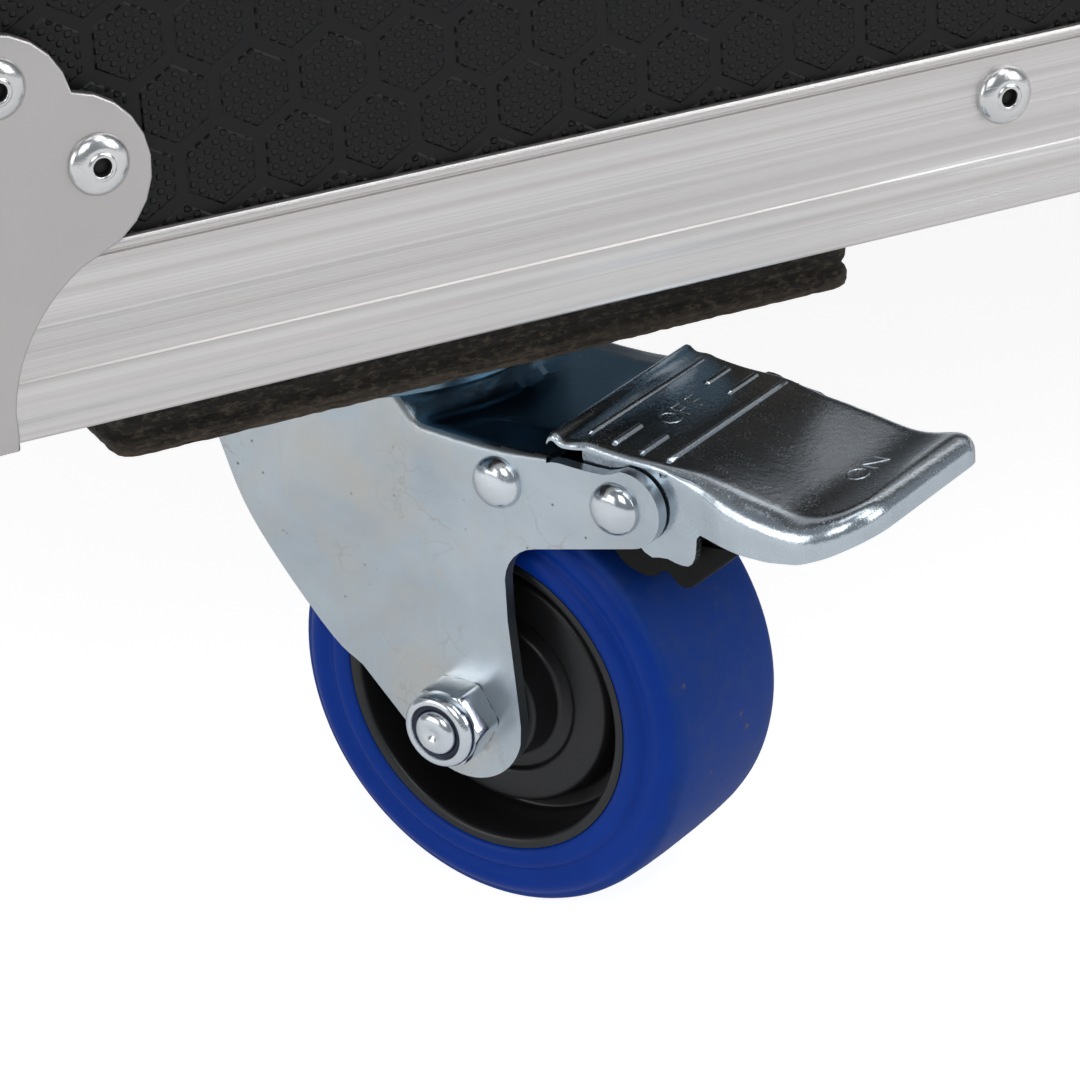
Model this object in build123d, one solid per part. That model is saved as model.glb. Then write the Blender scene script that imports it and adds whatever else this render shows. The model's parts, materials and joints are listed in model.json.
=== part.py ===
from build123d import *
import math
import os

os.makedirs("parts", exist_ok=True)

# Flight case for lighting fixtures: a panel case with aluminium edging on four
# swivel castors, a hinged lid, turn latches and recessed handles.
# Millimetres, +Z up. X runs along the front, the front face looks to -Y.

# ------------------------------------------------------------- dimensions
LENGTH = 800.0            # outer faces of the edging, along X
DEPTH = 560.0             # outer faces of the edging, along Y
BASE_H = 380.0            # case bottom to the lid joint
LID_H = 180.0             # lid joint to the top
CASE_Z = 119.6            # ground to case bottom: castor 106.2 and board 13.4
Y_CENTRE = 263.61         # case-depth coordinate that lies on Y = 0

PANEL_SET = 2.0           # panel face behind the edging's outer face
PANEL_T = 7.0             # plywood with laminate
EDGE_W = 30.0             # edging leg
EDGE_T = 2.0
EDGE_BLOCK = 10.5
EDGE_IN = 24.0
RIM_W = 25.0              # closure edging, outer face
RIM_BLOCK = 9.0

RIVET_HEAD_R = 5.0
RIVET_HEAD_H = 2.0
RIVET_SHANK_R = 2.4
RIVET_BORE_R = 1.45

BALL_R = 21.0             # corner ball
BALL_IN = 12.0            # ball centre inside each outer face
CORNER_T = 1.5

BOARD = (133.9, 98.8, 13.4)   # castor board
BOARD_X0 = 62.0           # board from the case's end face
BOARD_Y0 = 13.6           # board from the case's front face
SWIVEL_X = 127.25         # swivel axis from the case's end face
SWIVEL_Y = 63.0           # swivel axis from the case's front face

WHEEL_R = 40.0
TRAIL = 31.0
TYRE_HALF = 17.2
HUB_R = 28.6
HUB_HALF = 16.9
FORK_OUT = 23.0
FORK_T = 2.5
PLATE_Z = 103.2           # underside of the castor's top plate
CASTOR_H = 106.2          # ground to the top plate's upper face
ROOF_Z = 93.5             # top of the fork roof
AXLE_R = 4.0
SLEEVE_R = 6.0
RUN_FIT = 0.08
A_X, A_Z = 41.4, 85.8     # brake pivot in the fork
B_X, B_Z = 64.8, 85.8     # pedal pivot in the fork
PIN_R = 3.0

LATCH_X = (200.0, 600.0)
LATCH_DROP = 24.0         # latch centre below the lid joint
HINGE_X = (180.0, 620.0)
HINGE_W = 60.0
HINGE_OUT = 5.0           # hinge pin axis outside the back face
HANDLE_Z = 222.0          # handle dish centre above the case bottom

# castor directions: each is the way the fork trails, degrees from +X
SWING = {
    "front_left": -59.655,
    "front_right": -120.345,
    "rear_left": 118.0,
    "rear_right": 64.0,
}
H = BASE_H + LID_H


def case_loc(x, y, z):
    """A place given from the case's front left bottom corner."""
    return Location((x - LENGTH / 2, y - Y_CENTRE, z + CASE_Z))


TO_ROW = case_loc(0, 0, 0)


def bx(x0, x1, y0, y1, z0, z1):
    return Box(x1 - x0, y1 - y0, z1 - z0).moved(
        Location(((x0 + x1) / 2, (y0 + y1) / 2, (z0 + z1) / 2)))


def cyl(r, p0, p1):
    """Cylinder from point p0 to point p1."""
    a, b = Vector(*p0), Vector(*p1)
    d = b - a
    pl = Plane(origin=a, z_dir=d.normalized())
    return pl.location * Cylinder(r, d.length, align=(Align.CENTER, Align.CENTER, Align.MIN))


def prism(pts, plane, depth, both=False):
    """Closed polygon on a plane, extruded."""
    f = make_face(Polyline(*[Vector(*p) for p in pts], close=True))
    return extrude(plane.location * f, amount=depth, both=both)


def fuse(*parts):
    parts = [p for p in parts if p is not None]
    out = parts[0]
    for p in parts[1:]:
        out = out + p
    return out


def solids_of(shape):
    if isinstance(shape, (list, tuple)):
        return [s for item in shape for s in solids_of(item)]
    return list(shape.solids())


def write(name, shape, loc=TO_ROW):
    solids = [s.moved(loc) for s in solids_of(shape)]
    if len(solids) == 1:
        out = solids[0]
    else:
        out = Compound(children=solids)
    out.label = name
    export_step(out, "parts/" + name + ".step")


# -------------------------------------------------------------- the panels
P0, P1 = PANEL_SET, PANEL_SET + PANEL_T
E = EDGE_BLOCK

# latch recess, cut through the front panel and the rim edging
LR_W = 84.0               # clear width of the latch recess
LR_D = 12.0               # clear depth
LR_DOWN = 66.0            # recess below the lid joint
LR_UP = 20.0              # recess above it
SHEET = 1.2

HD_W, HD_H, HD_D = 150.0, 96.0, 19.0    # handle recess


def latch_cut(z0, z1):
    out = []
    for x in LATCH_X:
        w = LR_W / 2 + SHEET
        out.append(bx(x - w, x + w, -1, LR_D + SHEET, z0, z1))
    return out


front = bx(E, LENGTH - E, P0, P1, E, BASE_H - RIM_BLOCK)
for c in latch_cut(BASE_H - LR_DOWN - SHEET, BASE_H + 5):
    front = front - c
write("base_front_panel", front)
write("base_back_panel", bx(E, LENGTH - E, DEPTH - P1, DEPTH - P0, E, BASE_H - RIM_BLOCK))


def end_panel(x0, x1, hole):
    p = bx(x0, x1, E, DEPTH - E, E, BASE_H - RIM_BLOCK)
    if hole:
        w, h = HD_W / 2 + SHEET, HD_H / 2 + SHEET
        p = p - bx(x0 - 1, x1 + 1, DEPTH / 2 - w, DEPTH / 2 + w, HANDLE_Z - h, HANDLE_Z + h)
    return p


write("base_end_panels", [end_panel(P0, P1, True), end_panel(LENGTH - P1, LENGTH - P0, True)])

# bolts of the four castors, on an 80 by 60 pattern
def quadrants():
    return [("front_left", SWIVEL_X, SWIVEL_Y), ("front_right", LENGTH - SWIVEL_X, SWIVEL_Y),
            ("rear_left", SWIVEL_X, DEPTH - SWIVEL_Y), ("rear_right", LENGTH - SWIVEL_X, DEPTH - SWIVEL_Y)]


bolt_xy = [(x + sx * 40, y + sy * 30) for _, x, y in quadrants() for sx in (-1, 1) for sy in (-1, 1)]
floor = fuse(bx(E, LENGTH - E, E, DEPTH - E, P0, P1), bx(EDGE_W, LENGTH - EDGE_W, EDGE_W, DEPTH - EDGE_W, 0, P0))
for x, y in bolt_xy:
    floor = floor - cyl(4.3, (x, y, -1), (x, y, 12))
write("base_floor_panel", floor)

write("lid_front_panel", bx(E, LENGTH - E, P0, P1, BASE_H + RIM_BLOCK, H - E) - latch_cut(BASE_H - 5, BASE_H + LR_UP + SHEET)[0]
      - latch_cut(BASE_H - 5, BASE_H + LR_UP + SHEET)[1])
write("lid_back_panel", bx(E, LENGTH - E, DEPTH - P1, DEPTH - P0, BASE_H + RIM_BLOCK, H - E))
write("lid_end_panels", [bx(P0, P1, E, DEPTH - E, BASE_H + RIM_BLOCK, H - E),
                         bx(LENGTH - P1, LENGTH - P0, E, DEPTH - E, BASE_H + RIM_BLOCK, H - E)])
# the top panel's film stands up by its embossing inside the edging and the corner plates
FILM = 0.3
field = bx(EDGE_W + 0.3, LENGTH - EDGE_W - 0.3, EDGE_W + 0.3, DEPTH - EDGE_W - 0.3, H - P0 - 1, H - P0 + FILM)
for fx in (0, LENGTH):
    for fy in (0, DEPTH):
        field = field - bx(fx - 70, fx + 70, fy - 70, fy + 70, H - 10, H + 1)
write("lid_top_panel", bx(E, LENGTH - E, E, DEPTH - E, H - P1, H - P0) + field)


# ------------------------------------------------------------- the edging
def edge_section():
    """Double angle: 30 mm outer legs, a block at the corner and inner legs that hold the panels."""
    s = Rectangle(EDGE_W, EDGE_T, align=(Align.MIN, Align.MIN))
    s = s + Rectangle(EDGE_T, EDGE_W, align=(Align.MIN, Align.MIN))
    s = s + Rectangle(E, E, align=(Align.MIN, Align.MIN))
    s = s + Pos(P1, P1) * Rectangle(EDGE_IN - P1, E - P1, align=(Align.MIN, Align.MIN))
    s = s + Pos(P1, P1) * Rectangle(E - P1, EDGE_IN - P1, align=(Align.MIN, Align.MIN))
    return s


def mitre_x(run, deep):
    """Plan trapezium that mitres a rail running along X at y = 0."""
    return prism([(0, 0), (run, 0), (run - deep, deep), (deep, deep)], Plane.XY, 200, both=True)


def frame_rails(section_plane_solid, run_x, run_y):
    """Four mitred rails round the case from one function giving a straight rail of a length."""
    deep = 40.0
    out = []
    rx = section_plane_solid(run_x) & mitre_x(run_x, deep)
    ry = section_plane_solid(run_y) & mitre_x(run_y, deep)
    out.append(rx)
    out.append(Rot(0, 0, 180) * rx.moved(Location((-run_x, -run_y, 0))))
    out.append((Rot(0, 0, 90) * ry).moved(Location((run_x, 0, 0))))
    out.append((Rot(0, 0, -90) * ry).moved(Location((0, run_y, 0))))
    return out


def rail_bottom(run):
    # section drawn as (y, z), swept along X
    s = edge_section()
    return extrude(Plane(origin=(0, 0, 0), x_dir=(0, 1, 0), z_dir=(1, 0, 0)).location * s, amount=run)


def rail_top(run):
    return rail_bottom(run).mirror(Plane.XY)


bottom = frame_rails(rail_bottom, LENGTH, DEPTH)
for i in range(4):
    for bxp, byp in bolt_xy:
        if byp < 40 and i == 0 or byp > DEPTH - 40 and i == 1:
            bottom[i] = bottom[i] - cyl(4.3, (bxp, byp, -1), (bxp, byp, 12))
write("base_bottom_edges", bottom)
write("lid_top_edges", [r.moved(Location((0, 0, H))) for r in frame_rails(rail_top, LENGTH, DEPTH)])


def upright(z0, z1):
    s = edge_section()
    u = extrude(s, amount=z1 - z0).moved(Location((0, 0, z0)))
    return [u,
            u.mirror(Plane.YZ).moved(Location((LENGTH, 0, 0))),
            u.mirror(Plane.XZ).moved(Location((0, DEPTH, 0))),
            u.mirror(Plane.YZ).mirror(Plane.XZ).moved(Location((LENGTH, DEPTH, 0)))]


write("base_upright_edges", upright(EDGE_W, BASE_H - RIM_W))
write("lid_upright_edges", upright(BASE_H + RIM_W, H - EDGE_W))

GROOVE = (3.2, 8.2, 4.6)      # groove in the base rim: from, to, depth
TONGUE = (3.6, 6.4, 4.0)      # tongue under the lid rim


def rim_base(run):
    s = fuse(bx(0, run, 0, EDGE_T, -RIM_W, 0), bx(0, run, 0, E, -RIM_BLOCK, 0), bx(0, run, P1, E, -14, 0))
    return s - bx(-1, run + 1, GROOVE[0], GROOVE[1], -GROOVE[2], 1)


def rim_lid(run):
    s = fuse(bx(0, run, 0, EDGE_T, 0, RIM_W), bx(0, run, 0, E, 0, RIM_BLOCK), bx(0, run, P1, E, 0, 14))
    return s + bx(0, run, TONGUE[0], TONGUE[1], -TONGUE[2], 0.5)


base_rim = [r.moved(Location((0, 0, BASE_H))) for r in frame_rails(rim_base, LENGTH, DEPTH)]
lid_rim = [r.moved(Location((0, 0, BASE_H))) for r in frame_rails(rim_lid, LENGTH, DEPTH)]
for c in latch_cut(BASE_H - LR_DOWN - SHEET, BASE_H + LR_UP + SHEET):
    base_rim[0] = base_rim[0] - c
    lid_rim[0] = lid_rim[0] - c
write("base_rim_edges", base_rim)
write("lid_rim_edges", lid_rim)


# ------------------------------------------------------------ ball corners
def brace_face():
    """Outline of the corner plate on one face, symmetrical about the diagonal."""
    l = [Line((0, 0), (41.5, 0)), Line((41.5, 0), (41.4, 6.1)),
         ThreePointArc((41.4, 6.1), (45.2, 17.7), (54.4, 27.2)), Line((54.4, 27.2), (57.8, 28.7)),
         ThreePointArc((57.8, 28.7), (67.2, 41.0), (55.5, 55.5)),
         ThreePointArc((55.5, 55.5), (41.0, 67.2), (28.7, 57.8)), Line((28.7, 57.8), (27.2, 54.4)),
         ThreePointArc((27.2, 54.4), (17.7, 45.2), (6.1, 41.4)), Line((6.1, 41.4), (0, 41.5)), Line((0, 41.5), (0, 0))]
    return make_face(l)


def small_face():
    """Outline of the corner plate under the case, where the castor boards are."""
    l = [Line((0, 0), (41.5, 0)), Line((41.5, 0), (41.4, 6.1)),
         ThreePointArc((41.4, 6.1), (30.0, 30.0), (6.1, 41.4)), Line((6.1, 41.4), (0, 41.5)), Line((0, 41.5), (0, 0))]
    return make_face(l)


def ball_corner(full):
    """Corner at the case's front left bottom: a ball blended into three plates that lie on the edging."""
    t = CORNER_T
    f = brace_face()
    b = small_face() if not full else brace_face()
    # front plate, in (x, z) at y = -t..0
    front_pl = extrude(Plane(origin=(0, 0, 0), x_dir=(1, 0, 0), z_dir=(0, -1, 0)).location * f, amount=t)
    side_pl = extrude(Plane(origin=(0, 0, 0), x_dir=(0, 1, 0), z_dir=(1, 0, 0)).location * f, amount=-t)
    under_pl = extrude(b, amount=-t)
    # strips that close the plates round the three edges
    wraps = fuse(bx(-t, 41.5, -t, 0, -t, 0), bx(-t, 0, -t, 41.5, -t, 0), bx(-t, 0, -t, 0, -t, 41.5))
    ball = Sphere(BALL_R).moved(Location((BALL_IN, BALL_IN, BALL_IN)))
    ball = ball - bx(0, 60, 0, 60, 0, 60)
    return fuse(front_pl, side_pl, under_pl, wraps, ball)


corner_low = ball_corner(False)
corner_top = ball_corner(True).mirror(Plane.XY).moved(Location((0, 0, H)))


def four(c):
    return [c,
            c.mirror(Plane.YZ).moved(Location((LENGTH, 0, 0))),
            c.mirror(Plane.XZ).moved(Location((0, DEPTH, 0))),
            c.mirror(Plane.YZ).mirror(Plane.XZ).moved(Location((LENGTH, DEPTH, 0)))]


write("base_ball_corners", four(corner_low))
write("lid_ball_corners", four(corner_top))


def rim_corner(z0, z1):
    """Small angle plate round an upright edge beside the lid joint."""
    t, w = SHEET, 38.0
    a = bx(-t, w, -t, 0, z0, z1)
    a = fillet(a.edges().filter_by(Axis.Y).group_by(Axis.X)[-1], 9)
    b = bx(-t, 0, -t, w, z0, z1)
    b = fillet(b.edges().filter_by(Axis.X).group_by(Axis.Y)[-1], 9)
    return a + b


write("base_rim_corners", four(rim_corner(BASE_H - 46, BASE_H - 0.6)))
write("lid_rim_corners", four(rim_corner(BASE_H + 0.6, BASE_H + 46)))


# -------------------------------------------------------- castor boards etc.
def board(x, y):
    x0 = BOARD_X0 if x < LENGTH / 2 else LENGTH - BOARD_X0 - BOARD[0]
    y0 = BOARD_Y0 if y < DEPTH / 2 else DEPTH - BOARD_Y0 - BOARD[1]
    b = bx(x0, x0 + BOARD[0], y0, y0 + BOARD[1], CASTOR_H - CASE_Z, 0)
    b = fillet(b.edges().filter_by(Axis.Z), 3)
    b = chamfer(b.faces().sort_by(Axis.Z)[0].edges(), 1.2)
    for bxp, byp in bolt_xy:
        if abs(bxp - x) < 60 and abs(byp - y) < 60:
            b = b - cyl(4.3, (bxp, byp, -20), (bxp, byp, 5))
    return b


write("castor_boards", [board(x, y) for _, x, y in quadrants()])

ZP = PLATE_Z - CASE_Z     # plate underside in case heights


def top_plate(x, y):
    p = bx(x - 52.5, x + 52.5, y - 40, y + 40, ZP, ZP + 3)
    p = fillet(p.edges().filter_by(Axis.Z), 6)
    p = p + cyl(25, (x, y, ZP - 2.6), (x, y, ZP + 1))
    skirt = cyl(33.5, (x, y, ZP - 5.2), (x, y, ZP + 1)) - cyl(31.2, (x, y, ZP - 7), (x, y, ZP))
    p = p + skirt
    # king pin with its head under the fork roof
    p = p + cyl(6, (x, y, ZP - 15.6), (x, y, ZP))
    p = p + cyl(10, (x, y, ZP - 17.2), (x, y, ZP - 13.8))
    for bxp, byp in bolt_xy:
        if abs(bxp - x) < 60 and abs(byp - y) < 60:
            slot = bx(bxp - 2.5, bxp + 2.5, byp - 4.4, byp + 4.4, ZP - 1, ZP + 4)
            slot = slot + cyl(4.4, (bxp - 2.5, byp, ZP - 1), (bxp - 2.5, byp, ZP + 4)) + cyl(4.4, (bxp + 2.5, byp, ZP - 1), (bxp + 2.5, byp, ZP + 4))
            p = p - slot
    return p


write("castor_top_plates", [top_plate(x, y) for _, x, y in quadrants()])


def castor_bolt(x, y):
    head = cyl(7.5, (x, y, ZP - 1.2), (x, y, ZP))
    dome = Sphere(10.5).moved(Location((x, y, ZP + 7.3))) & bx(x - 9, x + 9, y - 9, y + 9, ZP - 3.3, ZP - 0.6)
    b = fuse(head, dome, cyl(4, (x, y, ZP - 1), (x, y, P1)))
    return b - cyl(2.2, (x, y, ZP - 8), (x, y, ZP - 1.8))


write("castor_bolts", [castor_bolt(x, y) for x, y in bolt_xy])

balls = []
for _, x, y in quadrants():
    for k in range(14):
        a = 2 * math.pi * k / 14
        balls.append(Sphere(3.0).moved(Location((x + 21 * math.cos(a), y + 21 * math.sin(a), 97.3 - CASE_Z))))
write("castor_balls", balls)


# ------------------------------------------------------------------ rivets
def rivet():
    """Domed blind rivet with a hollow shank, head on -Y, seat at y = 0, shank to +Y."""
    prof = [(RIVET_BORE_R, 7.0), (RIVET_SHANK_R, 7.0), (RIVET_SHANK_R, 0.0), (RIVET_HEAD_R, 0.0), (RIVET_HEAD_R, -0.45),
            (4.3, -1.25), (3.4, -1.7), (2.6, -2.0), (1.9, -2.0), (RIVET_BORE_R, -1.7)]
    f = make_face(Polyline(*prof, close=True))
    return revolve(f, Axis.Y)


RIVET = rivet()


def rv(x, y, z, face):
    """A rivet on a face of the case: front, back, left, right, top."""
    turn = {"front": (0, 0, 0), "back": (0, 0, 180), "left": (0, 0, -90), "right": (0, 0, 90), "top": (-90, 0, 0)}[face]
    return RIVET.moved(Location((x, y, z), turn))


base_r, lid_r = [], []
EZ = 20.7                 # rivet line in the edging
edge_x = (217.4, 400.0, 582.6)
edge_y = (186.7, 373.3)
for x in edge_x:
    for y, f in ((0, "front"), (DEPTH, "back")):
        base_r.append(rv(x, y, EZ, f))
        lid_r.append(rv(x, y, H - EZ, f))
for y in edge_y:
    for x, f in ((0, "left"), (LENGTH, "right")):
        base_r.append(rv(x, y, EZ, f))
        lid_r.append(rv(x, y, H - EZ, f))
for x in edge_x:
    lid_r.append(rv(x, EZ, H, "top"))
    lid_r.append(rv(x, DEPTH - EZ, H, "top"))
for y in edge_y:
    lid_r.append(rv(EZ, y, H, "top"))
    lid_r.append(rv(LENGTH - EZ, y, H, "top"))
# rim edging
for x in (100.0, 308.0, 400.0, 492.0, 700.0):
    for y, f in ((0, "front"), (DEPTH, "back")):
        base_r.append(rv(x, y, BASE_H - 17, f))
        lid_r.append(rv(x, y, BASE_H + 17, f))
for y in (120.0, 280.0, 440.0):
    for x, f in ((0, "left"), (LENGTH, "right")):
        base_r.append(rv(x, y, BASE_H - 17, f))
        lid_r.append(rv(x, y, BASE_H + 17, f))
# uprights
for z in (150.0, 240.0):
    for sx, x, xf in ((1, 0, "left"), (-1, LENGTH, "right")):
        for sy, y, yf in ((1, 0, "front"), (-1, DEPTH, "back")):
            base_r.append(rv(x + sx * EZ, y, z, yf))
            base_r.append(rv(x, y + sy * EZ, z, xf))
# corner plates
CT = CORNER_T
for sx, x, xf in ((1, 0, "left"), (-1, LENGTH, "right")):
    for sy, y, yf in ((1, 0, "front"), (-1, DEPTH, "back")):
        for u, w in ((58.5, 43.3), (43.3, 58.5)):
            base_r.append(rv(x + sx * u, y - sy * CT, w, yf))
            base_r.append(rv(x - sx * CT, y + sy * u, w, xf))
            lid_r.append(rv(x + sx * u, y - sy * CT, H - w, yf))
            lid_r.append(rv(x - sx * CT, y + sy * u, H - w, xf))
            lid_r.append(rv(x + sx * u, y + sy * w, H + CT, "top"))
        base_r.append(rv(x + sx * 28, y - sy * SHEET, BASE_H - 36, yf))
        base_r.append(rv(x - sx * SHEET, y + sy * 28, BASE_H - 36, xf))
        lid_r.append(rv(x + sx * 28, y - sy * SHEET, BASE_H + 36, yf))
        lid_r.append(rv(x - sx * SHEET, y + sy * 28, BASE_H + 36, xf))
# latch dishes and handle dishes
for x in LATCH_X:
    for dx in (-47, 47):
        base_r.append(rv(x + dx, -SHEET, BASE_H - 60, "front"))
        base_r.append(rv(x + dx, -SHEET, BASE_H - 12, "front"))
        lid_r.append(rv(x + dx, -SHEET, BASE_H + 14, "front"))
for s, x, f in ((-1, 0, "left"), (1, LENGTH, "right")):
    for dy in (-82, 0, 82):
        for dz in (-54, 54):
            base_r.append(rv(x + s * SHEET, DEPTH / 2 + dy, HANDLE_Z + dz, f))
# hinge leaves
HT = 1.6
for x in HINGE_X:
    for dx in (-20, 20):
        base_r.append(rv(x + dx, DEPTH + HT, BASE_H - 30, "back"))
        lid_r.append(rv(x + dx, DEPTH + HT, BASE_H + 30, "back"))
write("base_rivets", base_r)
write("lid_rivets", lid_r)


# ------------------------------------------------------------------- foam
def foam_base():
    f = bx(11.2, LENGTH - 11.2, 11.2, DEPTH - 11.2, E + 0.2, 130)
    for x0, x1 in ((55, 385), (415, 745)):
        pocket = bx(x0, x1, 70, DEPTH - 70, 45, 140)
        pocket = fillet(pocket.edges().filter_by(Axis.Z), 25)
        f = f - pocket
        # hand clearance across each pocket
        f = f - bx((x0 + x1) / 2 - 60, (x0 + x1) / 2 + 60, 40, DEPTH - 40, 80, 140)
    return f


write("base_foam_cradle", foam_base())
write("lid_foam", bx(11.2, LENGTH - 11.2, 11.2, DEPTH - 11.2, H - P1 - 40, H - E - 0.2))


# ----------------------------------------------------------------- latches
def tray(x, z0, z1, open_top, open_bottom, flange, depth, width):
    """Pressed dish: a flange on the face and a recess behind it. Sides may be open."""
    t = SHEET
    fz0 = z0 if open_bottom else z0 - flange
    fz1 = z1 if open_top else z1 + flange
    w = width / 2
    fl = bx(x - w - flange, x + w + flange, -t, 0, fz0, fz1)
    corner_edges = fl.edges().filter_by(Axis.Y)
    if open_top:
        corner_edges = corner_edges.group_by(Axis.Z)[0]
    elif open_bottom:
        corner_edges = corner_edges.group_by(Axis.Z)[-1]
    fl = fillet(corner_edges, 6)
    rz0 = z0 if open_bottom else z0 - t
    rz1 = z1 if open_top else z1 + t
    body = bx(x - w - t, x + w + t, -t, depth + t, rz0, rz1)
    hz0 = z0 - 5 if open_bottom else z0
    hz1 = z1 + 5 if open_top else z1
    hollow = bx(x - w, x + w, -5, depth, hz0, hz1)
    return (fl + body) - hollow


write("latch_dishes", [tray(x, BASE_H - LR_DOWN, BASE_H - 0.3, True, False, 10, LR_D, LR_W) for x in LATCH_X])
keepers = []
for x in LATCH_X:
    k = tray(x, BASE_H + 0.3, BASE_H + LR_UP, False, True, 10, LR_D, LR_W)
    tab = bx(x - 3.4, x + 3.4, 4.6, LR_D + 0.5, BASE_H - LATCH_DROP + 30.5, BASE_H - LATCH_DROP + 34.4)
    keepers.append(k + tab)
write("latch_keepers", keepers)


def sector(r0, r1, a0, a1, y0, y1):
    """Ring sector in the XZ plane between two angles, degrees."""
    a0r, a1r = math.radians(a0), math.radians(a1)
    am = (a0r + a1r) / 2

    def p(r, a):
        return (r * math.cos(a), r * math.sin(a))

    l = [Line(p(r0, a0r), p(r1, a0r)), ThreePointArc(p(r1, a0r), p(r1, am), p(r1, a1r)),
         Line(p(r1, a1r), p(r0, a1r)), ThreePointArc(p(r0, a1r), p(r0, am), p(r0, a0r))]
    f = make_face(l)
    return extrude(Plane(origin=(0, y1, 0), x_dir=(1, 0, 0), z_dir=(0, -1, 0)).location * f, amount=y1 - y0)


PIV_Y = 2.0               # wing pivot behind the front face


def latch_cam():
    """Round body with a hook for the keeper, drawn hook down: the latch is let go at rest."""
    drum = cyl(17, (0, 4.3, 0), (0, LR_D - 0.3, 0))
    plate = cyl(21, (0, 5.5, 0), (0, 8.5, 0))
    hook = sector(35.0, 39.0, 242, 292, 5.5, 8.5) + sector(17, 39.0, 230, 246, 5.5, 8.5)
    ears = None
    for sx in (-1, 1):
        e = bx(min(sx * 10, sx * 13), max(sx * 10, sx * 13), 0.4, 5.0, -2.6, 2.6)
        e = e - cyl(1.2 + RUN_FIT, (sx * 9, PIV_Y, 0), (sx * 14, PIV_Y, 0))
        ears = e if ears is None else ears + e
    return fuse(drum, plate, hook, ears)


def latch_wing():
    """Folding butterfly wing, hanging flat in the dish from its pin."""
    pin = cyl(1.2, (-13.6, PIV_Y, 0), (13.6, PIV_Y, 0))
    tab = bx(-9.6, 9.6, PIV_Y - 1.5, PIV_Y + 1.2, -8, 0) + cyl(1.5, (-9.6, PIV_Y, 0), (9.6, PIV_Y, 0))
    f = make_face(Polyline((-9.6, -4.2), (-26, -7), (-31, -15), (-27, -25), (-15, -28), (-6, -33), (6, -33), (15, -28), (27, -25),
                           (31, -15), (26, -7), (9.6, -4.2), close=True))
    plate = extrude(Plane(origin=(0, PIV_Y + 1.2, 0), x_dir=(1, 0, 0), z_dir=(0, -1, 0)).location * f, amount=2.7)
    plate = fillet(plate.edges().filter_by(Axis.Y), 2.5)
    for sx in (-1, 1):
        plate = plate - cyl(5.0, (sx * 17, -3, -16), (sx * 17, 8, -16))
    return fuse(pin, tab, plate)


CAM, WING = latch_cam(), latch_wing()
for name, x in zip(("left", "right"), LATCH_X):
    place = Location((x, 0, BASE_H - LATCH_DROP))
    write(name + "_latch_cam", CAM.moved(place))
    write(name + "_latch_wing", WING.moved(place))


# ----------------------------------------------------------------- handles
def handle_tray():
    """Dish for the left end, drawn at the front face and turned to the end."""
    t = tray(0, -HD_H / 2, HD_H / 2, False, False, 14, HD_D, HD_W)
    # two lugs that carry the handle's pins
    for sx in (-1, 1):
        lug = bx(min(sx * 64, sx * 68), max(sx * 64, sx * 68), 4.0, HD_D + 0.5, 24, 36)
        lug = lug - cyl(3.5 + RUN_FIT, (sx * 60, 9.5, 30), (sx * 72, 9.5, 30))
        t = t + lug
    return t


def handle():
    """Bail of 8 mm rod with a thick grip, folded flat in its dish."""
    r = 4.0
    y = 9.5
    arm_x = 58.0
    parts = []
    for sx in (-1, 1):
        parts.append(cyl(3.5, (sx * arm_x, y, 30), (sx * 71, y, 30)))
        parts.append(cyl(r, (sx * arm_x, y, 30), (sx * arm_x, y, -26)))
        parts.append(Sphere(r).moved(Location((sx * arm_x, y, 30))))
        parts.append(Sphere(r).moved(Location((sx * arm_x, y, -26))))
    parts.append(cyl(r, (-arm_x, y, -26), (arm_x, y, -26)))
    parts.append(cyl(7.5, (-47, y, -26), (47, y, -26)))
    return fuse(*parts)


left_end = Location((0, DEPTH / 2, HANDLE_Z), (0, 0, -90))
right_end = Location((LENGTH, DEPTH / 2, HANDLE_Z), (0, 0, 90))
write("handle_dishes", [handle_tray().moved(left_end), handle_tray().moved(right_end)])
write("left_handle", handle().moved(left_end))
write("right_handle", handle().moved(right_end))


# ------------------------------------------------------------------ hinges
def leaf(x, up):
    """Hinge leaf on the back face with its knuckles round the pin."""
    y0, y1 = DEPTH, DEPTH + HT
    za, zb = (BASE_H + 1.0, BASE_H + 42) if up else (BASE_H - 42, BASE_H - 1.0)
    p = bx(x - HINGE_W / 2, x + HINGE_W / 2, y0, y1, za, zb)
    p = fillet(p.edges().filter_by(Axis.Y).group_by(Axis.Z)[-1 if up else 0], 8)
    k = HINGE_W / 5
    py = DEPTH + HINGE_OUT
    idx = (1, 3) if up else (0, 2, 4)
    rest = (0, 2, 4) if up else (1, 3)
    for i in rest:
        a = x - HINGE_W / 2 + i * k
        lo = BASE_H - 6.5 if not up else BASE_H - 1
        hi = BASE_H + 1 if not up else BASE_H + 6.5
        p = p - bx(a - 0.25, a + k + 0.25, y0 - 1, y1 + 5, lo, hi)
    for i in idx:
        a = x - HINGE_W / 2 + i * k + (0.25 if i else 0)
        b = x - HINGE_W / 2 + (i + 1) * k - (0.25 if i < 4 else 0)
        body = cyl(4.4, (a, py, BASE_H), (b, py, BASE_H))
        web = bx(a, b, y0 + 0.2, y0 + HT, BASE_H + (0.0 if up else -6), BASE_H + (6 if up else 0.0))
        web = web + bx(a, b, y0 + 0.2, py, BASE_H + (0.6 if up else -4.2), BASE_H + (4.2 if up else -0.6))
        p = p + (body + web)
    p = p - cyl(2.5 + RUN_FIT, (x - 40, py, BASE_H), (x + 40, py, BASE_H))
    return p


write("hinge_base_leaves", [leaf(x, False) for x in HINGE_X])
write("hinge_lid_leaves", [leaf(x, True) for x in HINGE_X])


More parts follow.
